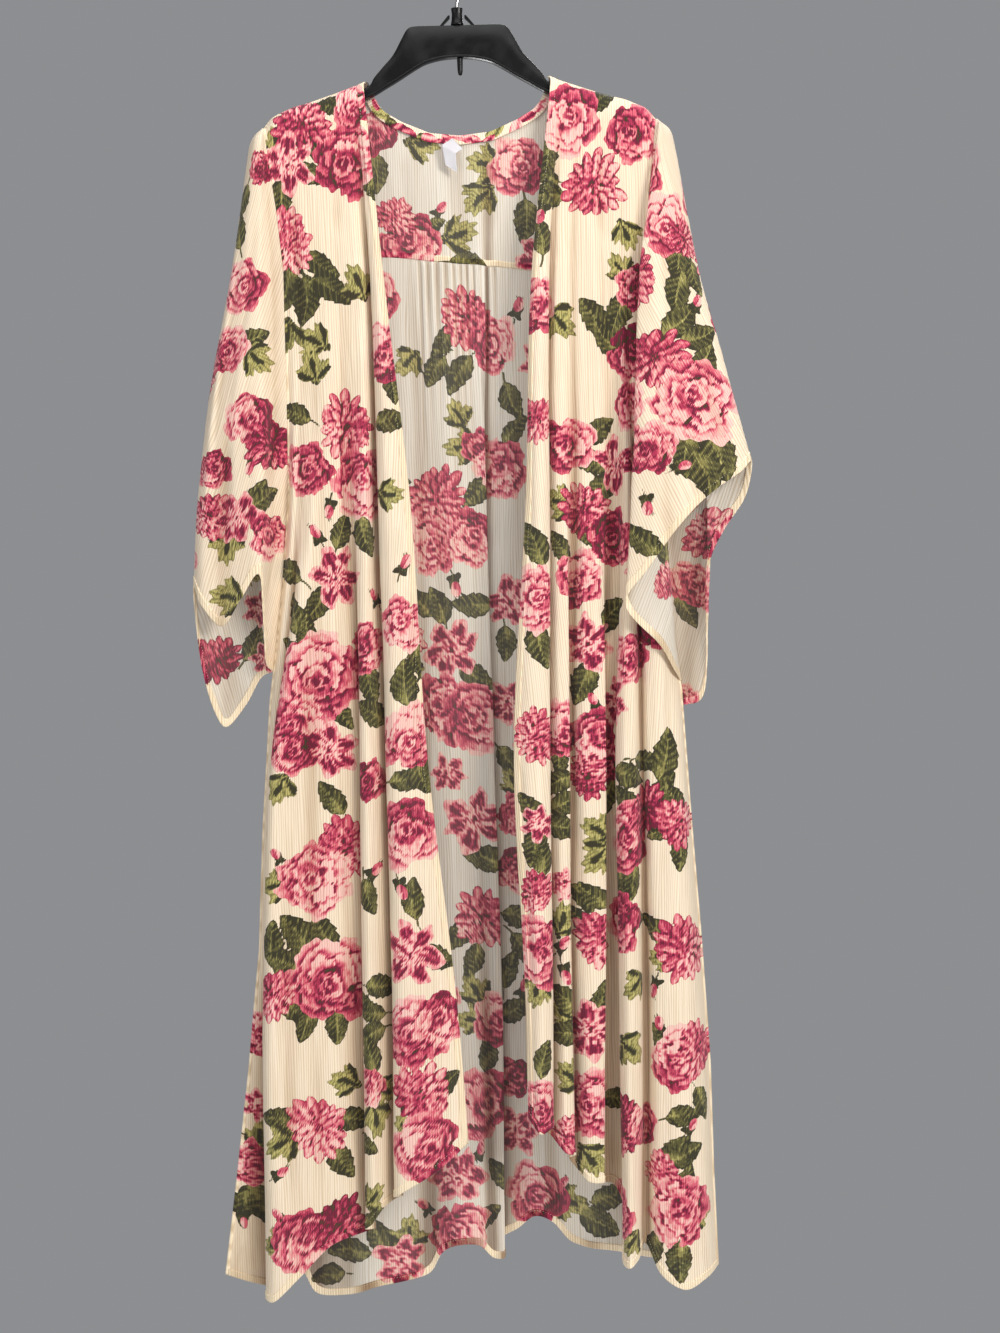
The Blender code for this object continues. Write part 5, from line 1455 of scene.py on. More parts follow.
def node_group(name: str, inputs: tuple, outputs: tuple) -> tuple[bpy.types.NodeTree, Tree, dict, dict]:
    """Empty node group with its sockets.

    Args:
        name: The group's name.
        inputs: Name, kind and value of each input.
        outputs: Name and kind of each output.

    Returns:
        The group, its tree helper, its inputs by name and its output node's inputs by name.
    """
    group = bpy.data.node_groups.new(name, "ShaderNodeTree")
    for label, kind, value in inputs:
        made = group.interface.new_socket(label, in_out="INPUT", socket_type=kind)
        if value is not None:
            made.default_value = value
    for label, kind in outputs:
        group.interface.new_socket(label, in_out="OUTPUT", socket_type=kind)
    tree = Tree(group)
    start = tree.add("NodeGroupInput")
    end = tree.add("NodeGroupOutput")
    return group, tree, {s.name: s for s in start.outputs}, {s.name: s for s in end.inputs}


class Effects:
    """The node groups that more than one finish uses, each built once."""

    def __init__(self) -> None:
        """Builds the groups."""
        self.ink = self.build_ink()
        self.crinkle = self.build_crinkle()
        self.grain = self.build_grain()

    def build_ink(self) -> bpy.types.NodeTree:
        """Print: turns signed distances and tones into inks with hard edges and fine upright streaks."""
        group, tree, given, out = node_group(
            "printed_ink",
            (("Vector", "NodeSocketVector", None), ("Flower", "NodeSocketFloat", FAR),
             ("Flower Tone", "NodeSocketFloat", 0.0), ("Leaf", "NodeSocketFloat", FAR),
             ("Leaf Tone", "NodeSocketFloat", 0.0)),
            (("Color", "NodeSocketColor"), ("Mask", "NodeSocketFloat")),
        )
        streak = tree.noise(tree.scale(given["Vector"], (1050.0, 95.0, 1.0)), 1.0)
        rough = tree.math("SUBTRACT", streak, 0.5)
        blotch = tree.math("SUBTRACT", tree.noise(tree.scale(given["Vector"], (60.0, 60.0, 1.0)), 3.0), 0.5)
        shift = tree.math("ADD", tree.math("MULTIPLY", rough, 0.75), tree.math("MULTIPLY", blotch, 0.3))
        colours, masks = [], []
        for layer, stops in (("Flower", FLOWER_INKS), ("Leaf", LEAF_INKS)):
            tone = tree.math("ADD", given[layer + " Tone"], shift)
            level = tree.span(tone, TONE_LOW, TONE_HIGH, 0.0, 1.0)
            places = [((at_tone - TONE_LOW) / (TONE_HIGH - TONE_LOW), ink) for at_tone, ink in stops]
            colours.append(tree.ramp(level, tuple(places)))
            edge = tree.math("ADD", given[layer], tree.math("MULTIPLY", rough, 0.9))
            masks.append(tree.span(edge, -0.12, 0.12, 0.0, 1.0))
        tree.feed(out["Color"], tree.mix(masks[0], colours[1], colours[0]))
        tree.feed(out["Mask"], tree.math("MAXIMUM", masks[0], masks[1]))
        return group

    def build_crinkle(self) -> bpy.types.NodeTree:
        """Crinkle: upright streaks, fine lines and a weave, as a height, a shade and thin places."""
        group, tree, given, out = node_group(
            "crinkle",
            (("Vector", "NodeSocketVector", None),),
            (("Height", "NodeSocketFloat"), ("Shade", "NodeSocketFloat"), ("Thin", "NodeSocketFloat")),
        )
        broad = tree.noise(tree.scale(given["Vector"], (470.0, 12.0, 1.0)), 1.0)
        drift = tree.noise(tree.scale(given["Vector"], (70.0, 9.0, 1.0)), 1.0)
        split = tree.add("ShaderNodeSeparateXYZ", {0: tree.scale(given["Vector"], (9000.0, 9000.0, 1.0))})
        waves = [tree.math("SINE", split.outputs[k]) for k in (0, 1)]
        weave = tree.math("MULTIPLY", *waves)
        across = tree.math("MULTIPLY_ADD", split.outputs[0], 0.27, tree.math("MULTIPLY", drift, 16.0))
        lines = tree.math("MULTIPLY", tree.math("SINE", across), 0.12)
        both = tree.math("ADD", tree.math("MULTIPLY_ADD", broad, 0.34, 0.33), lines)
        tree.feed(out["Height"], tree.math("ADD", both, tree.math("MULTIPLY", weave, 0.02)))
        tree.feed(out["Shade"], tree.span(both, 0.36, 0.58, 0.0, 1.0))
        tree.feed(out["Thin"], tree.span(both, 0.38, 0.62, 0.4, 1.3))
        return group

    def build_grain(self) -> bpy.types.NodeTree:
        """Fine grain and rubbed patches of a hard surface, as a height and a share of wear."""
        group, tree, given, out = node_group(
            "hard_grain",
            (("Vector", "NodeSocketVector", None), ("Scale", "NodeSocketFloat", 2500.0)),
            (("Height", "NodeSocketFloat"), ("Wear", "NodeSocketFloat")),
        )
        fine = {"Vector": given["Vector"], "Scale": given["Scale"], "Detail": 3.0}
        patch = tree.noise(tree.scale(given["Vector"], (38.0, 38.0, 38.0)), 4.0)
        tree.feed(out["Height"], tree.add("ShaderNodeTexNoise", fine).outputs[0])
        tree.feed(out["Wear"], tree.span(patch, 0.42, 0.68, 0.0, 1.0))
        return group


TONE_LOW, TONE_HIGH = -0.4, 1.6
# each ink and the tone from which it is used
FLOWER_INKS = (
    (TONE_LOW, (250, 205, 198)), (0.19, (240, 158, 162)), (0.39, (221, 100, 122)), (0.59, (176, 48, 84)),
    (0.81, (116, 24, 56)), (1.22, (70, 58, 36)),
)
LEAF_INKS = (
    (TONE_LOW, (194, 186, 118)), (0.22, (142, 138, 82)), (0.44, (90, 88, 50)), (0.7, (53, 52, 32)),
)
# painted shade of the cloth, from the crown of a fold to its valley
VALLEY_SHADES = (
    (0.0, (255, 254, 252)), (0.38, (250, 247, 243)), (0.62, (224, 215, 205)), (1.0, (170, 153, 139)),
)


def blank_material(name: str) -> tuple[bpy.types.Material, Tree, bpy.types.Node]:
    """New material with its tree helper and its shader."""
    made = bpy.data.materials.new(name)
    made.use_nodes = True
    return made, Tree(made.node_tree), made.node_tree.nodes["Principled BSDF"]


@dataclass(frozen=True)
class PrintedCloth:
    """Finish of the sheer crinkled cloth, with its print on the right side and paler on the wrong one."""

    name: str
    ground: Colour = (252, 237, 214)
    wrong_side: Colour = (236, 231, 220)
    openness: float = 0.12  # how much shows through the bare ground
    grain: float = 0.0  # turn of the cloth's grain on the piece, in degrees
    fade: float = 0.05  # how far the wrong side is paler
    bump: float = 0.7
    streak: Colour = (221, 213, 203)  # painted shade in the furrows of the crinkle

    def material(self, effects: Effects) -> bpy.types.Material:
        """Builds the material.

        Args:
            effects: The shared node groups.

        Returns:
            The material.
        """
        made, tree, shader = blank_material(self.name)
        flat = tree.add("ShaderNodeUVMap", uv_map="cloth").outputs[0]
        rotation = (0.0, 0.0, math.radians(self.grain))
        turned_flat = tree.add("ShaderNodeMapping", {"Vector": flat, "Rotation": rotation}).outputs[0]
        given = {
            "Vector": turned_flat, "Flower": tree.value("flower"), "Flower Tone": tree.value("flower_tone"),
            "Leaf": tree.value("leaf"), "Leaf Tone": tree.value("leaf_tone"),
        }
        ink = tree.add("ShaderNodeGroup", given, node_tree=effects.ink)
        folds = tree.add("ShaderNodeGroup", {"Vector": turned_flat}, node_tree=effects.crinkle)
        behind = tree.add("ShaderNodeNewGeometry").outputs["Backfacing"]
        ground = tree.mix(behind, linear(self.ground), linear(self.wrong_side))
        faded = tree.math("MULTIPLY", behind, self.fade)
        pale = tree.mix(faded, ink.outputs["Color"], linear(self.wrong_side))
        colour = tree.mix(ink.outputs["Mask"], ground, pale)
        # painted shade: the deeper a point lies in a fold, the darker its colour; on the wrong side the
        # depth's sign is turned
        depth = tree.math("MULTIPLY", tree.value("valley"), tree.span(behind, 0.0, 1.0, 1.0, -1.0))
        valley = tree.ramp(tree.span(depth, *VALLEY_RANGE, 0.0, 1.0), VALLEY_SHADES, crisp=False)
        # painted shade of the crinkle: its furrows, where the Shade output is low, take the streak colour
        streak = tree.mix(folds.outputs["Shade"], linear(self.streak), (1.0, 1.0, 1.0, 1.0))
        shade = tree.mix(1.0, valley, streak, "MULTIPLY")
        tree.feed(shader.inputs["Base Color"], tree.mix(1.0, colour, shade, "MULTIPLY"))
        printed = tree.math("SUBTRACT", 1.0, tree.math("MULTIPLY", ink.outputs["Mask"], 0.6))
        thin = tree.math("MULTIPLY", tree.math("MULTIPLY", folds.outputs["Thin"], self.openness), printed)
        tree.feed(shader.inputs["Alpha"], tree.math("SUBTRACT", 1.0, thin))
        rough = tree.math("ADD", 0.78, tree.math("MULTIPLY", folds.outputs["Height"], 0.14))
        tree.feed(shader.inputs["Roughness"], rough)
        shader.inputs["Sheen Weight"].default_value = 0.12
        shader.inputs["Sheen Roughness"].default_value = 0.6
        shader.inputs["Specular IOR Level"].default_value = 0.25
        tree.bump(shader, self.bump, 0.0009, folds.outputs["Height"])
        return made


@dataclass(frozen=True)
class GrainedSurface:
    """Finish of a surface with a fine grain and with patches where it is worn."""

    name: str
    colour: Colour
    worn: Colour
    wear: float = 1.0  # how far the patches take the worn colour
    stretch: tuple[float, float, float] = (1.0, 1.0, 1.0)
    grain: float = 2500.0
    rough_by: str = "Wear"  # output of the grain that sets the roughness
    rough: tuple[float, float, float, float] = (0.0, 1.0, 0.5, 0.5)  # a range of that and its roughness
    specular: float = 0.5
    metallic: float = 0.0
    bump: tuple[float, float] | None = None  # strength and distance

    def material(self, effects: Effects) -> bpy.types.Material:
        """Builds the material.

        Args:
            effects: The shared node groups.

        Returns:
            The material.
        """
        made, tree, shader = blank_material(self.name)
        place = tree.scale(tree.add("ShaderNodeTexCoord").outputs["Object"], self.stretch)
        grain = tree.add("ShaderNodeGroup", {"Vector": place, "Scale": self.grain}, node_tree=effects.grain)
        worn = tree.math("MULTIPLY", grain.outputs["Wear"], self.wear)
        tree.feed(shader.inputs["Base Color"], tree.mix(worn, linear(self.colour), linear(self.worn)))
        tree.feed(shader.inputs["Roughness"], tree.span(grain.outputs[self.rough_by], *self.rough))
        shader.inputs["Specular IOR Level"].default_value = self.specular
        shader.inputs["Metallic"].default_value = self.metallic
        if self.bump:
            tree.bump(shader, *self.bump, grain.outputs["Height"])
        return made


# twisted pale thread, black moulded plastic with rubbed patches, bright plated wire, pale matt floor
THREAD = GrainedSurface(
    "sewing_thread", (238, 226, 200), (225, 208, 182), grain=4000.0, rough_by="Height",
    rough=(0.2, 0.8, 0.45, 0.75),
)
PLASTIC = GrainedSurface(
    "hanger_plastic", (4, 4, 5), (13, 13, 14), wear=0.6, grain=1900.0, rough=(0.0, 1.0, 0.3, 0.44),
    specular=0.27, bump=(0.22, 0.0003),
)
WIRE_PLATED = GrainedSurface(
    "hook_wire", (196, 197, 200), (168, 167, 166), stretch=(1.0, 1.0, 0.08), grain=3000.0,
    rough=(0.0, 1.0, 0.16, 0.34), metallic=1.0, bump=(0.12, 0.0002),
)
FLOOR = GrainedSurface(
    "studio_floor", (214, 214, 213), (207, 207, 206), stretch=(0.1, 0.1, 0.1), rough=(0.0, 1.0, 0.85, 0.85),
)


@dataclass(frozen=True)
class WovenTape:
    """Finish of the bare label: smooth white satin tape with a fine weave."""

    name: str = "label_tape"
    colour: Colour = (204, 202, 206)
    worn: Colour = (188, 186, 190)

    def material(self, effects: Effects) -> bpy.types.Material:
        """Builds the material.

        Args:
            effects: The shared node groups.

        Returns:
            The material.
        """
        made, tree, shader = blank_material(self.name)
        flat = tree.add("ShaderNodeUVMap", uv_map="cloth").outputs[0]
        wave = tree.add("ShaderNodeTexWave", {"Vector": flat, "Scale": 420.0, "Distortion": 0.4})
        threads = wave.outputs["Fac"]
        grain = tree.add("ShaderNodeGroup", {"Vector": flat}, node_tree=effects.grain)
        worn = tree.math("MULTIPLY", grain.outputs["Wear"], 0.5)
        tree.feed(shader.inputs["Base Color"], tree.mix(worn, linear(self.colour), linear(self.worn)))
        tree.feed(shader.inputs["Roughness"], tree.span(threads, 0.0, 1.0, 0.38, 0.56))
        shader.inputs["Sheen Weight"].default_value = 0.1
        tree.bump(shader, 0.25, 0.0002, threads)
        return made


@dataclass
class ClothPiece:
    """A piece of the coat that is cut and sewn: its surface, its turned hems and their stitches."""

    name: str
    flat: tuple[float, float]  # width and length of the cut, in metres
    area: float  # area of the cut, in square metres
    finish: PrintedCloth
    hems: tuple[Edge, ...] = ()
    rests_on: tuple[str, ...] = ("hanger_plate",)
    grid: float = 1.0  # its grid's spacing against the usual one
    sheet: Sheet | None = field(init=False, default=None)
    extras: list = field(init=False, default_factory=list)

    def surface(self) -> Sheet:
        """The piece's surface, with its folds."""
        raise NotImplementedError

    def prepare(self) -> Sheet:
        """Works out the surface and presses the small creases into it.

        Returns:
            The surface, with nothing printed yet.
        """
        self.sheet = self.surface()
        self.sheet.press(CREASES.get(self.name, ()))
        self.sheet.crinkle(self.finish.grain)
        self.sheet.mark_valleys()
        return self.sheet

    def build(self, wardrobe: "Wardrobe") -> bpy.types.Object:
        """Args:
            wardrobe: Holds the materials.

        Returns:
            The cloth's object.
        """
        sheet = self.sheet
        rows, columns, _ = sheet.points.shape
        quads = grid_quads(rows, columns, flip=sheet.outward < 0)
        made = make_object(f"cloth_{self.name}", sheet.points, [quads])
        put_map(made, np.stack([sheet.across, sheet.height], axis=-1) * MM)
        put_values(made, sheet.layers)
        made.data.materials.append(wardrobe.cloth(self.finish))
        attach(made, BODY)
        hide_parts(self.name)
        for edge in self.hems:
            self.extras.append(self.hem(edge, wardrobe))
            self.extras.append(self.stitches(edge, wardrobe))
        LOG.info("%s: %d points, %d pieces sewn on", made.name, rows * columns, len(self.extras))
        return made

    def hem(self, edge: Edge, wardrobe: "Wardrobe", width: float = HEM,
            thick: float = HEM_THICK) -> bpy.types.Object:
        """Turned hem along one edge: a flat closed band round the edge, with the print carried on.

        The band's section is a rounded loop: down the right side, round the edge and up the wrong side.

        Args:
            edge: The edge.
            wardrobe: Holds the materials.
            width: Width of the turned cloth.
            thick: Its thickness.

        Returns:
            The band.
        """
        loop = (
            (width, 0.2), (width - 0.2, 0.62), (width - 1.6, 0.6), (width - 2.4, 0.5), (0.9, 0.56),
            (-0.1, 0.4), (-0.45, 0.0), (-0.1, -0.4), (0.9, -0.56), (width - 2.4, -0.5), (width - 1.6, -0.6),
            (width - 0.2, -0.62), (width, -0.2),
        )
        points, normals, flat, layers = self.sheet.lines_from(edge, [far for far, _ in loop])
        share = np.array([side for _, side in loop])[None, :, None]
        pucker = 0.1 * np.sin(np.arange(len(points)) * 1.7)[:, None, None]
        made = make_tube(f"hem_{self.name}_{edge.value}", points + normals * share * (thick + pucker))
        put_map(made, with_ends(flat) * MM)
        put_values(made, {key: with_ends(value) for key, value in layers.items()})
        made.data.materials.append(wardrobe.hem)
        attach(made, BODY)
        return made

    def stitches(self, edge: Edge, wardrobe: "Wardrobe", width: float = HEM) -> bpy.types.Object:
        """Row of stitches near a hem's inner border, on both of its sides.

        A stitch is a stretched double pyramid that lies along the edge. Its places are even steps along
        the line.

        Args:
            edge: The edge.
            wardrobe: Holds the materials.
            width: Width of the hem.

        Returns:
            All the stitches as one object.
        """
        points, normals, _, _ = self.sheet.lines_from(edge, [width - STITCH_INSET])
        line = points[:, 0]
        run = run_length(line)
        places = np.arange(STITCH_EVERY, run[-1] - STITCH_EVERY, STITCH_EVERY)
        spot, along, up = (
            np.stack([np.interp(places, run, values[:, k]) for k in range(3)], axis=1)
            for values in (line, np.gradient(line, run, axis=0), normals[:, 0])
        )
        along, up = unit(along), unit(up)
        side = np.cross(up, along)
        solid = []
        for face in (1.0, -1.0):
            middle = spot + up * face * (HEM_THICK * STITCH_SEAT)
            solid.append(np.stack([
                middle - along * STITCH_LONG, middle + along * STITCH_LONG, middle - side * STITCH_WIDE,
                middle + side * STITCH_WIDE, middle - up * STITCH_IN, middle + up * STITCH_OUT,
            ], axis=1))
        solid = np.concatenate(solid)
        corner = np.array([[a, b, c] if (a == 0) == ((b == 2) == (c == 4)) else [a, c, b]
                           for a in (0, 1) for b in (2, 3) for c in (4, 5)])
        faces = (np.arange(len(solid))[:, None, None] * 6 + corner[None]).reshape(-1, 3)
        made = make_object(f"stitches_{self.name}_{edge.value}", solid, [outward_faces(solid, faces)])
        made.data.materials.append(wardrobe.thread)
        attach(made, BODY)
        return made


def outward_faces(solids: Array, faces: Array) -> Array:
    """Turns the triangles of small convex solids outwards.

    Args:
        solids: Solids by points by three.
        faces: Triangles, the same number for each solid, in the solids' order.

    Returns:
        The triangles, each with its normal away from its solid's middle.
    """
    points = solids.reshape(-1, 3)
    middle = np.repeat(solids.mean(axis=1), len(faces) // len(solids), axis=0)
    a, b, c = (points[faces[:, k]] for k in range(3))
    wrong = np.einsum("ij,ij->i", np.cross(b - a, c - a), a - middle) < 0
    faces = faces.copy()
    faces[wrong] = faces[wrong][:, ::-1]
    return faces


@dataclass
class FrontPanel(ClothPiece):
    """One open front, from the shoulder to its hem, with its knife-like falls."""

    side: str = "left"

    def surface(self) -> Sheet:
        """Surface through the front's rails, each hung over the shoulder's ridge."""
        table = FRONT_LEFT if self.side == "left" else FRONT_RIGHT
        rows = fine_rows(SEAM_TOP - UNDERARM, UNDERARM - SEAM_FOOT, STEP * self.grid, over_arm=True)
        rails = []
        for _, x_top, *rest in table:
            ridge = float(table_line(SHOULDER, x_top))
            z = heights(rows, ridge, UNDERARM, rest[8])
            x = at(FRONT_X_AT, [x_top] + list(rest[:5]), z)
            y = at(FRONT_Y_AT, [-TOP_DEPTH] + list(rest[5:8]), z)
            rails.append(hung_rail((x_top, -GAP / 2), x, y, z, ridge))
        z = heights(rows, SEAM_TOP, UNDERARM, SEAM_FOOT)
        seam = seam_rail(z, self.side, front=True, inset=GAP / 2)
        rails = [seam] + rails if self.side == "left" else rails + [seam]
        rails = np.stack(rails, axis=1)
        points = loft(rails, span_steps(rails, STEP * self.grid))
        points[0, :, 1] = np.minimum(points[0, :, 1], -GAP / 2)
        return Sheet(self.name, points, -1.0)


def seam_rail(z: Array, side: str, front: bool, inset: float) -> Array:
    """A body panel's edge along the armhole and the side seam.

    Args:
        z: Heights.
        side: "left" or "right".
        front: Whether it is the front's edge.
        inset: Distance from the seam's own line.

    Returns:
        The points.
    """
    x, half = seam_line(z, side)
    y = np.where(z >= UNDERARM, 0.0, side_depth(z, side))
    sign = -1.0 if front else 1.0
    return np.stack([x - SIGN[side] * inset, y + sign * np.maximum(half, GAP / 2), z], axis=1)


@dataclass
class BackPanel(ClothPiece):
    """What the two pieces of the back share."""

    def across_back(self, rows: Array, seam_ends: Array, ends_of: Callable[[tuple], Array]) -> Sheet:
        """Surface through the back's rails.

        Args:
            rows: The piece's rows.
            seam_ends: Heights of its side edges.
            ends_of: Gives a rail's heights from its row of the table.

        Returns:
            The surface.
        """
        rails = [seam_rail(seam_ends, "left", False, GAP / 2)]
        for entry in BACK:
            _, x_top, *rest = entry
            z = ends_of(entry)
            x = at(BACK_X_AT, [x_top] + list(rest[:5]), z)
            y = at(BACK_Y_AT, rest[5:9], z)
            rails.append(hung_rail((x_top, GAP / 2), x, y, z, float(table_line(SHOULDER, x_top))))
        rails = np.stack(rails + [seam_rail(seam_ends, "right", False, GAP / 2)], axis=1)
        return Sheet(self.name, loft(rails, span_steps(rails, STEP * self.grid)), 1.0)


@dataclass
class BackYoke(BackPanel):
    """Plain upper back, from the shoulders and the neck edge to the seam across the shoulder blades."""

    def surface(self) -> Sheet:
        """Surface of the yoke."""
        rows = fine_rows(SEAM_TOP - YOKE_ENDS, 0.0, STEP * self.grid, over_arm=True)

        def ends_of(entry: tuple) -> Array:
            """Heights of a rail, from the shoulder or the neck edge to the seam."""
            top = float(table_line(SHOULDER if abs(entry[1]) >= NECK_RAIL else NECK, entry[1]))
            return heights(rows, top, entry[-2] + GAP / 2, 0.0)

        made = self.across_back(rows, heights(rows, SEAM_TOP, YOKE_ENDS + GAP / 2, 0.0), ends_of)
        made.points[0, :, 1] = np.maximum(made.points[0, :, 1], GAP / 2)
        return made


@dataclass
class BackSkirt(BackPanel):
    """Gathered lower back, from the yoke's seam to the hem."""

    def surface(self) -> Sheet:
        """Surface of the lower back."""
        rows = fine_rows(YOKE_ENDS - UNDERARM, UNDERARM - SEAM_FOOT, STEP * self.grid, over_arm=False)

        def ends_of(entry: tuple) -> Array:
            """Heights of a rail, from the yoke's seam to the hem."""
            return heights(rows, entry[-2] - GAP / 2, UNDERARM, entry[-1])

        return self.across_back(rows, heights(rows, YOKE_ENDS - GAP / 2, UNDERARM, SEAM_FOOT), ends_of)

    def prepare(self) -> Sheet:
        """Adds the gathers under the yoke's seam."""
        made = super().prepare()
        made.gather(left=-56.0, right=46.0, below=150.0, deep=2.1)
        made.mark_valleys()
        return made


@dataclass
class Sleeve(ClothPiece):
    """One wide sleeve: a tube from the armhole, open along its foot."""

    side: str = "left"

    def surface(self) -> Sheet:
        """Surface through the sleeve's rails, from one side of its underarm seam round to the other."""
        table = SLEEVE_LEFT if self.side == "left" else SLEEVE_RIGHT
        sign = SIGN[self.side]
        names = [entry[0] for entry in table]
        outer, foot = names.index("outer"), CUFF_SEAM[self.side]
        rows = fine_rows(SEAM_TOP - UNDERARM, UNDERARM - foot, STEP * self.grid, over_arm=True)
        share_up = (SEAM_TOP - UNDERARM) / (SEAM_TOP - foot)
        z = heights(rows, SEAM_TOP, UNDERARM, foot)
        x, half = seam_line(z, self.side)
        apart = GAP / 2 + TURNED_APART * np.sin(seam_turn(z) * math.pi / 2)
        apart += np.clip((UNDERARM - z) / LOOSE_OVER, 0, 1) * LOOSE_APART
        middle = np.where(z >= UNDERARM, 0.0, side_depth(z, self.side))
        depth = np.maximum(half, GAP / 2)
        ends = [np.stack([x + sign * apart, middle + s * depth, z], axis=1) for s in (-1.0, 1.0)]
        rails = []
        for index, (_, x_top, *rest) in enumerate(table):
            ridge = float(table_line(SHOULDER, x_top))
            rail_z = heights(rows, ridge, ridge + (rest[8] - ridge) * share_up, rest[8])
            rx = at(SLEEVE_X_AT, rest[:5], rail_z)
            ry = at(SLEEVE_Y_AT, rest[5:8], rail_z)
            rails.append(hung_rail((x_top, float(np.sign(index - outer)) * GAP / 2), rx, ry, rail_z, ridge))
        rails = np.stack([ends[0]] + rails + [ends[1]], axis=1)
        points = loft(rails, span_steps(rails, STEP * self.grid))
        return Sheet(self.name, points, -sign, mirror=self.side == "left")


class Printer:
    """Prints the coat: the listed motifs that show, and like ones where the coat hides them."""

    def __init__(self, sheets: list[Sheet], seed: int = 11) -> None:
        """Keeps the pieces and marks what shows from the front.

        Args:
            sheets: The cloth pieces' surfaces.
            seed: Start of the random draws.
        """
        self.sheets = sheets
        self.art = FlowerArt(seed)
        self.random = np.random.default_rng(seed + 1)
        cells = [self.cells(sheet) for sheet in sheets]
        low = np.min([c.reshape(-1, 2).min(axis=0) for c in cells], axis=0)
        high = np.max([c.reshape(-1, 2).max(axis=0) for c in cells], axis=0)
        self.low = low
        self.depth = np.full(tuple(high - low + 1), np.inf)
        for sheet, cell in zip(sheets, cells):
            np.minimum.at(self.depth, tuple((cell - low).reshape(-1, 2).T), sheet.points[..., 1].ravel())

    @staticmethod
    def cells(sheet: Sheet) -> Array:
        """Column and row of each point in the map of what shows."""
        return np.floor(sheet.points[..., [0, 2]] / SHOWN_CELL).astype(int)

    def hidden(self, sheet: Sheet) -> Array:
        """Whether each point of a piece lies behind another cloth, seen from the front."""
        cell = (self.cells(sheet) - self.low).reshape(-1, 2)
        front = self.depth[tuple(cell.T)].reshape(sheet.across.shape)
        return sheet.points[..., 1] > front + SHOWN_DEPTH

    def print_all(self) -> None:
        """Prints every piece, leaves first and flowers over them."""
        for sheet in self.sheets:
            rows = [
                (motif, *sheet.seat(x, z), size, turn, tone[0] if tone else 0.0)
                for motif, x, z, size, turn, *tone in MOTIFS[sheet.name]
            ]
            rows += self.scatter(sheet, rows)
            for motif, u, v, size, turn, tone in rows:
                sheet.stamp(self.art, motif, (u, v), size, turn, tone)
            LOG.info("%s: %d motifs", sheet.name, len(rows))

    def scatter(self, sheet: Sheet, placed: list[tuple]) -> list[tuple]:
        """Clusters of flowers and leaves for the hidden parts of a piece.

        A flower goes where no other motif is near, and its leaves stand round it.

        Args:
            sheet: The piece.
            placed: Its motifs so far, with flat coordinates.

        Returns:
            The new motifs.
        """
        hidden = self.hidden(sheet).astype(float)
        deep = box_mean(box_mean(hidden, HIDDEN_SPAN, 0), HIDDEN_SPAN, 1) > HIDDEN_SHARE
        spots = np.argwhere(deep)
        if not len(spots):
            return []
        taken = [(u, v, size * (1.0 if m in FLOWERS else 0.7)) for m, u, v, size, _, _ in placed]
        fresh = []
        for _ in range(len(spots) // TRY_EVERY):
            r, c = spots[self.random.integers(len(spots))]
            u, v = float(sheet.across[r, c]), float(sheet.height[r, c])
            motif = FLOWERS[self.random.choice(3, p=FLOWER_ODDS)]
            size = float(self.random.uniform(FLOWER_SIZE, ROSE_SIZE_TO if motif is ROSE else OTHER_SIZE_TO))
            others = np.array(taken) if taken else np.zeros((0, 3))
            away = np.hypot(others[:, 0] - u, others[:, 1] - v)
            if (away < APART * (others[:, 2] + size)).any():
                continue
            start = self.random.uniform(0, 360)
            for k in range(self.random.integers(1, 4)):
                angle = start + k * self.random.uniform(70, 130)
                leaf = (LEAF, LEAF, LEAF, SPRIG, BUD)[self.random.integers(5)]
                long = LEAF_LONG if leaf is LEAF else SMALL_LONG
                out = size + long * LEAF_OUT
                spot = (u + out * math.cos(math.radians(angle)), v + out * math.sin(math.radians(angle)))
                away = np.hypot(others[:, 0] - spot[0], others[:, 1] - spot[1])
                nearest = np.argmin(np.hypot(sheet.across - spot[0], sheet.height - spot[1]))
                if (away < others[:, 2] + LEAF_CLEAR * long).any() or not deep.flat[nearest]:
                    continue
                fresh.append((leaf, *spot, long, angle, 0.0))
                taken.append((*spot, long * 0.5))
            turn = self.random.uniform(0, 360)
            fresh.append((motif, u, v, size, turn, self.random.choice((0.0, 0.0, 0.1, -0.1))))
            taken.append((u, v, size))
        return fresh


class Wardrobe:
    """All the materials of the coat and its hanger, each built once."""

    def __init__(self) -> None:
        """Builds the shared node groups and the materials."""
        self.effects = Effects()
        self.made: dict[str, bpy.types.Material] = {}
        hem = PrintedCloth("hem_cloth", (253, 237, 208), (250, 236, 210), openness=0.02, fade=0.12)
        self.hem = self.cloth(hem)
        self.binding = self.cloth(PrintedCloth("binding_cloth", openness=0.0, fade=0.1, bump=0.4))
        self.tape = WovenTape().material(self.effects)
        finishes = (THREAD, PLASTIC, WIRE_PLATED, FLOOR)
        self.thread, self.plastic, self.wire, self.floor = (f.material(self.effects) for f in finishes)

    def cloth(self, finish: PrintedCloth) -> bpy.types.Material:
        """Material of a cloth finish, built at its first use."""
        if finish.name not in self.made:
            self.made[finish.name] = finish.material(self.effects)
        return self.made[finish.name]


def smooth_tube(path: Array, across: Array, out: Array, wide: float, high: float, sides: int = 10) -> Array:
    """Rings of a flattened tube along a path: an ellipse that lies on the cloth.

    Args:
        path: Points of the path.
        across: Unit vectors across it, in the cloth.
        out: Unit vectors out of the cloth.
        wide: Its half width.
        high: Its half height.
        sides: Points of a ring.

    Returns:
        Rings by points by three.
    """
    angle = np.arange(sides) * 2 * np.pi / sides
    c, s = np.cos(angle)[None, :, None], np.sin(angle)[None, :, None]
    return path[:, None] + (c * across[:, None] * wide + s * out[:, None] * high)


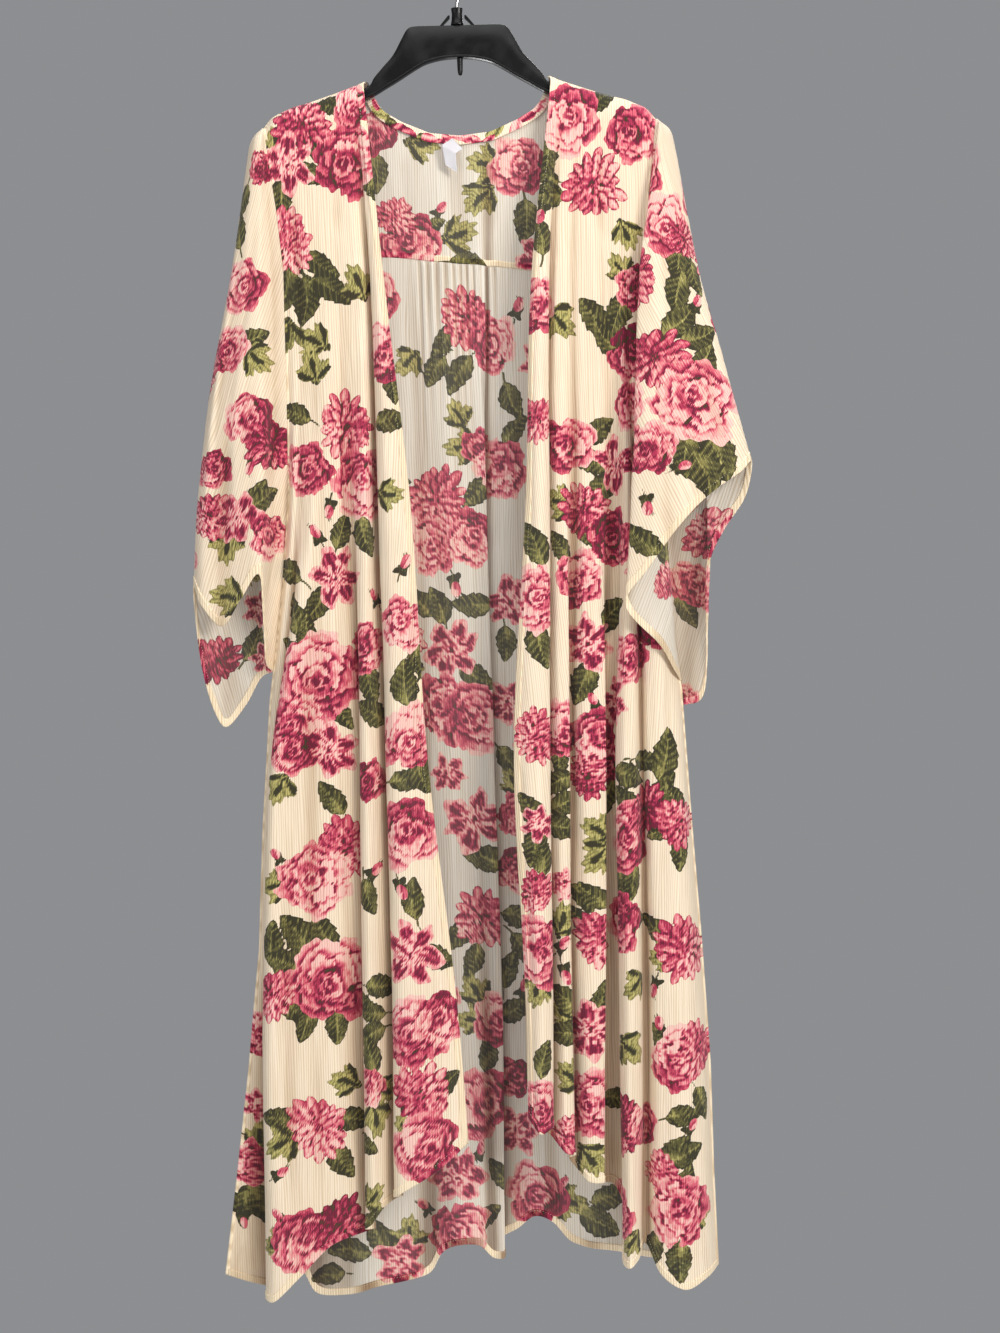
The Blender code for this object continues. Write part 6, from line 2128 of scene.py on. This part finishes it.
@dataclass
class Seams:
    """The coat's sewn seams: the ridge of cloth along each and the gathered band across the back."""

    wide: float = 1.9
    high: float = 0.95

    def build(self, pieces: dict[str, ClothPiece], wardrobe: Wardrobe) -> list[bpy.types.Object]:
        """Makes the seams.

        Args:
            pieces: The cloth pieces by name.
            wardrobe: Holds the materials.

        Returns:
            The seams' objects.
        """
        made = []
        yoke = pieces["back_yoke"]
        for side, outer in (("left", Edge.FIRST), ("right", Edge.LAST)):
            front = pieces[f"front_{side}"].sheet
            made.append(self.ridge(f"seam_shoulder_{side}", front, Edge.TOP, wardrobe))
            made.append(self.ridge(f"seam_side_{side}", front, outer, wardrobe))
            made.append(self.ridge(f"seam_armhole_back_{side}", yoke.sheet, outer, wardrobe))
        made.append(yoke.hem(Edge.FOOT, wardrobe, width=6.0, thick=1.9))
        made.append(yoke.stitches(Edge.FOOT, wardrobe, width=4.0))
        LOG.info("seams: %d", len(made))
        return made

    def ridge(self, name: str, sheet: Sheet, edge: Edge, wardrobe: Wardrobe) -> bpy.types.Object:
        """Ridge of sewn cloth along a piece's edge, an ellipse carried along it.

        Args:
            name: The seam's name.
            sheet: The piece.
            edge: Its edge.
            wardrobe: Holds the materials.

        Returns:
            The seam.
        """
        points, normals, flat, layers = sheet.lines_from(edge, [-GAP / 2, 1.5])
        path, out = points[:, 0], normals[:, 0]
        across = unit(points[:, 1] - path)
        rings = smooth_tube(path, across, out, self.wide, self.high)
        made = make_tube(name, rings)
        around = rings.shape[1]
        put_map(made, with_ends(np.repeat(flat[:, :1], around, axis=1)) * MM)
        put_values(made, {k: with_ends(np.repeat(v[:, :1], around, axis=1)) for k, v in layers.items()})
        made.data.materials.append(wardrobe.hem)
        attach(made, BODY)
        return made


@dataclass
class NeckBinding:
    """Narrow folded band of printed cloth round the back neck, on the inner side of the yoke's edge."""

    wide: float = 9.0
    over: float = 0.8  # how far it stands over the neck edge
    reach: float = 92.0
    gap: float = 1.0
    count: int = 190

    def build(self, wardrobe: Wardrobe) -> bpy.types.Object:
        """Makes the band.

        Its section is a flat loop with round ends, and it follows the neck edge from shoulder to shoulder.

        Args:
            wardrobe: Holds the materials.

        Returns:
            The band.
        """
        x = np.linspace(-self.reach, self.reach, self.count)
        edge = np.stack([x, table_line(NECK, x)], axis=1)
        kernel = np.hanning(13) / np.hanning(13).sum()
        soft = np.convolve(np.pad(edge[:, 1], 6, mode="edge"), kernel, mode="valid")
        edge[:, 1] = np.where(np.abs(x) < self.reach - 6, soft, edge[:, 1])
        run = unit(np.gradient(edge, axis=0))
        down = np.stack([run[:, 1], -run[:, 0]], axis=1)
        neck_rail = BACK[[entry[0] for entry in BACK].index("back_10")]
        middle = (self.wide - self.over) / 2
        half = (self.wide + self.over) / 2
        angle = np.linspace(0, 2 * np.pi, 21)[:-1]
        across = middle + half * np.sign(np.cos(angle)) * np.abs(np.cos(angle)) ** 0.45
        lift = BAND_WALL * 0.5 * np.sign(np.sin(angle)) * np.abs(np.sin(angle)) ** 0.6
        spot = edge[:, None] + down[:, None] * across[None, :, None]
        depth = at(BACK_Y_AT, list(neck_rail[7:11]), spot[..., 1].ravel()).reshape(spot.shape[:2])
        depth = depth * turned(SHOULDER[0][1] - spot[..., 1])
        pucker = 0.12 * np.sin(x / 2.3)[:, None] * (np.abs(lift) > 0.3)
        y = depth - (WALL + BAND_WALL) / 2 - self.gap + lift + pucker * np.sign(lift)
        made = make_tube("binding_neck", np.stack([spot[..., 0], y, spot[..., 1]], axis=-1))
        flat = with_ends(np.stack(np.broadcast_arrays(run_length(edge)[:, None], across[None]), axis=-1))
        put_map(made, flat * MM)
        put_values(made, self.bits(flat))
        made.data.materials.append(wardrobe.binding)
        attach(made, BODY)
        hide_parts("neck_binding")
        return made

    def bits(self, flat: Array) -> dict[str, Array]:
        """Scraps of flowers and leaves that the narrow cut leaves on the band.

        Args:
            flat: Distance along the band and across it, for each point.

        Returns:
            The print's layers and the fold depth for the painted shade.
        """
        random = np.random.default_rng(23)
        layers = {key: np.full(len(flat), FAR if "tone" not in key else 0.0) for key in PRINT_AND_SHADE_LAYERS}
        place = 4.0
        while place < flat[:, 0].max():
            kind = "leaf" if random.random() < 0.34 else "flower"
            long, tall = random.uniform(5, 13), random.uniform(3, 7)
            centre = (place, random.uniform(0, self.wide))
            turn = random.uniform(-0.7, 0.7)
            distance, along, across = signed_ellipse(flat[:, 0], flat[:, 1], centre, (long, tall), turn)
            tone = random.uniform(0.1, 0.8) + 0.4 * np.sin(3 * along + 4 * across)
            on = distance > layers[kind]
            layers[kind + "_tone"] = np.where(on, tone, layers[kind + "_tone"])
            layers[kind] = np.maximum(layers[kind], distance)
            place += long * random.uniform(1.0, 1.9)
        return layers


@dataclass
class Label:
    """Bare label: a strip of white tape folded in two, with its fold at the foot."""

    bow: float = 0.5
    thick: float = 0.35
    count: int = 40
    across: int = 13

    def build(self, wardrobe: Wardrobe) -> bpy.types.Object:
        """Makes the label: both layers of the strip as one closed thin form that follows the table.

        Args:
            wardrobe: Holds the materials.

        Returns:
            The label.
        """
        table = np.asarray(LABEL, float)
        rows = np.linspace(0, len(table) - 1, self.count)
        edges = np.stack([np.interp(rows, np.arange(len(table)), table[:, k]) for k in range(5)], axis=1)
        edges = box_mean(edges, 1, 0, odd=True)
        share = np.linspace(0, 1, self.across)
        x = edges[:, 0:1] + (edges[:, 2:3] - edges[:, 0:1]) * share
        z = edges[:, 1:2] + (edges[:, 3:4] - edges[:, 1:2]) * share
        y = edges[:, 4:5] + self.bow * np.sin(np.pi * share) + 0.1 * np.sin(rows[:, None] * 2.3 + 4 * share)
        points = np.stack([x, y, z], axis=-1)
        out = facing(points)
        open_at = 0.35 + 0.5 * np.sin(np.linspace(0, np.pi, self.count))[:, None, None]
        front = points - out * (self.thick * open_at)
        back = (points + out * (self.thick * open_at))[:, ::-1]
        made = make_tube("label_tape_folded", np.concatenate([front, back], axis=1))
        flat = np.stack([x, z], axis=-1)
        flat = np.concatenate([flat, flat[:, ::-1]], axis=1).reshape(-1, 2)
        put_map(made, np.concatenate([flat, flat[:1], flat[-1:]]) * MM)
        made.data.materials.append(wardrobe.tape)
        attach(made, BODY)
        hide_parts("label")
        return made


@dataclass
class Hanger:
    """Black plastic hanger: an arched plate with a thick rim along its foot, a socket, ribs and a stub."""

    corner: float = 0.8

    def build(self, wardrobe: Wardrobe) -> list[bpy.types.Object]:
        """Makes the plate, socket, stub and hook, and dresses the two ribs.

        Args:
            wardrobe: Holds the materials.

        Returns:
            The new pieces.
        """
        made = [self.plate(), self.socket(), self.stub()]
        for piece, node in zip(made, ("hanger_plate", "hanger_neck", "hanger_stub")):
            piece.data.materials.append(wardrobe.plastic)
            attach(piece, BODY)
            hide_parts(node)
        hook = self.hook()
        hook.data.materials.append(wardrobe.wire)
        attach(hook, BODY)
        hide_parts("hanger_hook")
        for side in ("left", "right"):
            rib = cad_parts[f"gusset_{side}"]
            if not rib.material_slots:
                rib.data.materials.append(wardrobe.plastic)
            for slot in rib.material_slots:
                slot.material = wardrobe.plastic
        LOG.info("hanger: %d pieces", len(made) + 1)
        return made + [hook]

    def plate(self) -> bpy.types.Object:
        """Plate whose section is carried from tip to tip.

        The section's places are given as distances up from the foot, held under a share of the plate's
        own height near the tips, and half thicknesses.

        Returns:
            The plate.
        """
        half = np.asarray(PLATE, float)
        full = np.concatenate([half[:0:-1] * (-1, 1, -1, 1), half])
        level = tuple(-np.arange(len(full), dtype=float))
        fine = -np.linspace(0, len(full) - 1, (len(full) - 1) * 5 + 1)
        line = np.stack([at(level, list(full[:, k]), fine) for k in range(4)], axis=1)
        top, foot = line[:, :2], line[:, 2:]
        high = np.linalg.norm(top - foot, axis=1)
        up = (top - foot) / high[:, None]
        rim = np.minimum(RIM_HIGH, RIM_SHARE * high)
        c = self.corner
        section = [
            (rim * 0, RIM_HALF - c * 1.5), (rim * 0.1, RIM_HALF - c * 0.5), (rim * 0.28, RIM_HALF),
            (rim * 0.58, RIM_HALF), (rim * 0.78, RIM_HALF - c * 0.35), (rim * 0.92, RIM_HALF - c),
            (rim, WEB_HALF + c * 0.6), (rim * 1.08, WEB_HALF),
            ((rim + high) / 2, WEB_HALF), (high - c, WEB_HALF), (high - c * 0.3, WEB_HALF - c * 0.4),
            (high, WEB_HALF - c * 1.2),
        ]
        loop = [(far, -y) for far, y in section] + [(far, y) for far, y in section[::-1]]
        rings = np.stack([
            np.concatenate([foot + up * far[:, None], np.full((len(foot), 1), y)], axis=1) for far, y in loop
        ], axis=1)[..., [0, 2, 1]]
        made = make_tube("plate_hanger", rings)
        made.data.set_sharp_from_angle(angle=SHARP_ANGLE)
        return made

    def socket(self) -> bpy.types.Object:
        """Socket of the hook: its profile turned round the shank, flattened front to back."""
        profile = np.array(SOCKET + SOCKET[:1], float)
        t = np.linspace(0, len(SOCKET), len(SOCKET) * 5 + 1)[:-1]
        profile = np.stack([np.interp(t, np.arange(len(profile)), profile[:, k]) for k in range(2)], axis=1)
        kernel = np.array([0.25, 0.5, 0.25])
        wrapped = np.concatenate([profile[-1:], profile, profile[:1]])
        profile = np.stack([np.convolve(wrapped[:, k], kernel, mode="valid") for k in range(2)], axis=1)
        angle = np.arange(ROUND_SOCKET) * 2 * np.pi / ROUND_SOCKET
        flat = np.where(profile[:, 0] > SOCKET[0][0] + 0.4, SOCKET_FLAT, 1.0)
        rings = np.stack([
            profile[None, :, 0] * np.cos(angle)[:, None],
            profile[None, :, 0] * np.sin(angle)[:, None] * flat[None],
            np.repeat(profile[None, :, 1], ROUND_SOCKET, 0),
        ], axis=-1)
        quads = grid_quads(ROUND_SOCKET + 1, rings.shape[1], around=True) % (ROUND_SOCKET * rings.shape[1])
        made = make_object("socket_hook", rings, [quads])
        if signed_volume(rings.reshape(-1, 3), quads) < 0:
            made.data.flip_normals()
        made.data.set_sharp_from_angle(angle=SHARP_ANGLE)
        return made

    def stub(self) -> bpy.types.Object:
        """Short round peg under the plate's middle."""
        z = np.linspace(STUB[0][0], STUB[-1][0], 24)
        radius = np.interp(-z, [-row[0] for row in STUB], [row[1] for row in STUB])
        radius = radius * np.sqrt(np.clip((z - STUB[-1][0]) / 1.2, 0.05, 1))
        angle = np.arange(ROUND_STUB) * 2 * np.pi / ROUND_STUB
        return make_tube("stub_hanger", np.stack([
            STUB_X + radius[:, None] * np.cos(angle), radius[:, None] * np.sin(angle),
            np.repeat(z[:, None], ROUND_STUB, 1),
        ], axis=-1))

    def hook(self) -> bpy.types.Object:
        """Wire hook: a circle carried up the shank, through the bend and round the crook."""
        centre = HOOK_DROP - CROOK
        degrees = np.radians(np.arange(HOOK_ARC[0], HOOK_ARC[1], 3))
        arc = np.stack([(CROOK + WIRE) * np.cos(degrees), centre + (CROOK + WIRE) * np.sin(degrees)], axis=1)
        path = np.concatenate([np.asarray(HOOK_PATH, float), arc[::4]])
        run = run_length(path)
        fine = np.linspace(0, run[-1], 220)
        path = np.stack([at(tuple(-run), list(path[:, k]), -fine) for k in range(2)], axis=1)
        along = unit(np.gradient(path, axis=0))
        spot = np.stack([path[:, 0], np.zeros(len(path)), path[:, 1]], axis=1)
        across = np.stack([along[:, 1], np.zeros(len(path)), -along[:, 0]], axis=1)
        out = np.repeat(np.array([[0.0, 1.0, 0.0]]), len(path), 0)
        end = np.minimum(fine, run[-1] - fine)
        thick = WIRE * np.sqrt(np.clip(end / 1.4, 0.08, 1))
        rings = smooth_tube(spot, across * thick[:, None], out * thick[:, None], 1.0, 1.0, sides=20)
        return make_tube("wire_hook", rings)


def signed_volume(points: Array, quads: Array) -> float:
    """Volume inside a closed mesh of quads, positive where its faces look outwards."""
    total = 0.0
    for corners in (quads[:, :3], quads[:, [0, 2, 3]]):
        a, b, c = (points[corners[:, k]] for k in range(3))
        total += float(np.einsum("ij,ij->", a, np.cross(b, c)))
    return total / 6


@dataclass
class Studio:
    """Plain pale floor, soft light and the camera at the photograph's angle."""

    distance: float = 2.1  # from the coat's middle plane to the camera
    aim: tuple[float, float] = (0.0293, -0.7678)  # X and height of the middle of the picture
    roll: float = 1.4  # degrees
    frame_high: float = 1.4396  # height of what the picture takes in at the middle plane
    sensor: float = 24.0
    floor_z: float = -1.9
    floor_half: float = 1.1

    def build(self, wardrobe: Wardrobe) -> None:
        """Makes the camera, lights, world and floor.

        Args:
            wardrobe: Holds the materials.
        """
        scene = bpy.context.scene
        lens = bpy.data.cameras.new("camera")
        lens.sensor_fit = "VERTICAL"
        lens.sensor_height = self.sensor
        lens.lens = self.sensor * self.distance / self.frame_high
        camera = bpy.data.objects.new("camera", lens)
        camera.location = (self.aim[0], -self.distance, self.aim[1])
        camera.rotation_euler = (math.pi / 2, math.radians(self.roll), 0.0)
        scene.collection.objects.link(camera)
        scene.camera = camera
        for row in LIGHTS:
            self.light(*row)
        world = bpy.data.worlds.new("studio_air")
        world.use_nodes = True
        air = world.node_tree.nodes["Background"]
        air.inputs["Color"].default_value = linear(AIR)
        air.inputs["Strength"].default_value = AIR_STRENGTH
        scene.world = world
        scene.view_settings.view_transform = "Standard"
        half = self.floor_half
        corners = np.array([[-half, -half], [half, -half], [half, half], [-half, half]]) / MM
        points = np.concatenate([corners, np.full((4, 1), self.floor_z / MM + HOOK_DROP)], axis=1)
        floor = make_object("floor", points, [np.array([[0, 1, 2, 3]])], smooth=False)
        floor.data.materials.append(wardrobe.floor)

    def light(self, name: str, place: tuple[float, float, float], size: float, power: float,
              tint: Colour) -> None:
        """Adds a square soft light that looks at the coat's middle.

        Args:
            name: Its name.
            place: Where it stands.
            size: Its side.
            power: In watts.
            tint: Its colour.
        """
        lamp = bpy.data.lights.new(name, "AREA")
        lamp.size = size
        lamp.energy = power
        lamp.color = tint
        made = bpy.data.objects.new(name, lamp)
        made.location = place
        x, y, z = (self.aim[0] - place[0], -place[1], self.aim[1] - place[2])
        made.rotation_euler = (math.atan2(math.hypot(x, y), -z), 0.0, -math.atan2(x, y))
        bpy.context.scene.collection.objects.link(made)


def cloth_pieces() -> list[ClothPiece]:
    """The coat's cut pieces, with the size each was cut to."""
    fronts = PrintedCloth("front_cloth", openness=0.1)
    back = PrintedCloth("back_cloth", openness=0.12)
    sleeve_left = PrintedCloth("sleeve_left_cloth", openness=0.1, grain=14.0)
    sleeve_right = PrintedCloth("sleeve_right_cloth", openness=0.1, grain=-18.0)
    return [
        FrontPanel("front_left", (0.31, 1.31), 0.28, fronts, (Edge.LAST, Edge.FOOT), side="left"),
        FrontPanel("front_right", (0.33, 1.31), 0.29, fronts, (Edge.FIRST, Edge.FOOT), side="right"),
        BackYoke("back_yoke", (0.44, 0.20), 0.068, back, grid=0.85),
        BackSkirt("back_skirt", (0.62, 1.14), 0.54, back, (Edge.FOOT,), ("back_yoke",), grid=1.2),
        Sleeve("sleeve_left", (0.23, 0.64), 0.096, sleeve_left, (Edge.FOOT,),
               ("hanger_plate", "front_left", "back_yoke"), grid=0.92, side="left"),
        Sleeve("sleeve_right", (0.27, 0.62), 0.106, sleeve_right, (Edge.FOOT,),
               ("hanger_plate", "front_right", "back_yoke"), grid=0.92, side="right"),
    ]


def main() -> None:
    """Builds the coat, its hanger and the studio, and reports each piece."""
    logging.basicConfig(level=logging.INFO, format="%(name)s: %(message)s")
    wardrobe = Wardrobe()
    pieces = cloth_pieces()
    Printer([piece.prepare() for piece in pieces]).print_all()
    by_name = {piece.name: piece for piece in pieces}
    back = by_name["back_yoke"]
    back.extras.append(NeckBinding().build(wardrobe))
    back.extras += Seams().build(by_name, wardrobe)
    for piece in pieces:
        piece.build(wardrobe)
    Label().build(wardrobe)
    Hanger().build(wardrobe)
    Studio().build(wardrobe)
    bpy.context.view_layer.update()


if __name__ == "__main__":
    main()
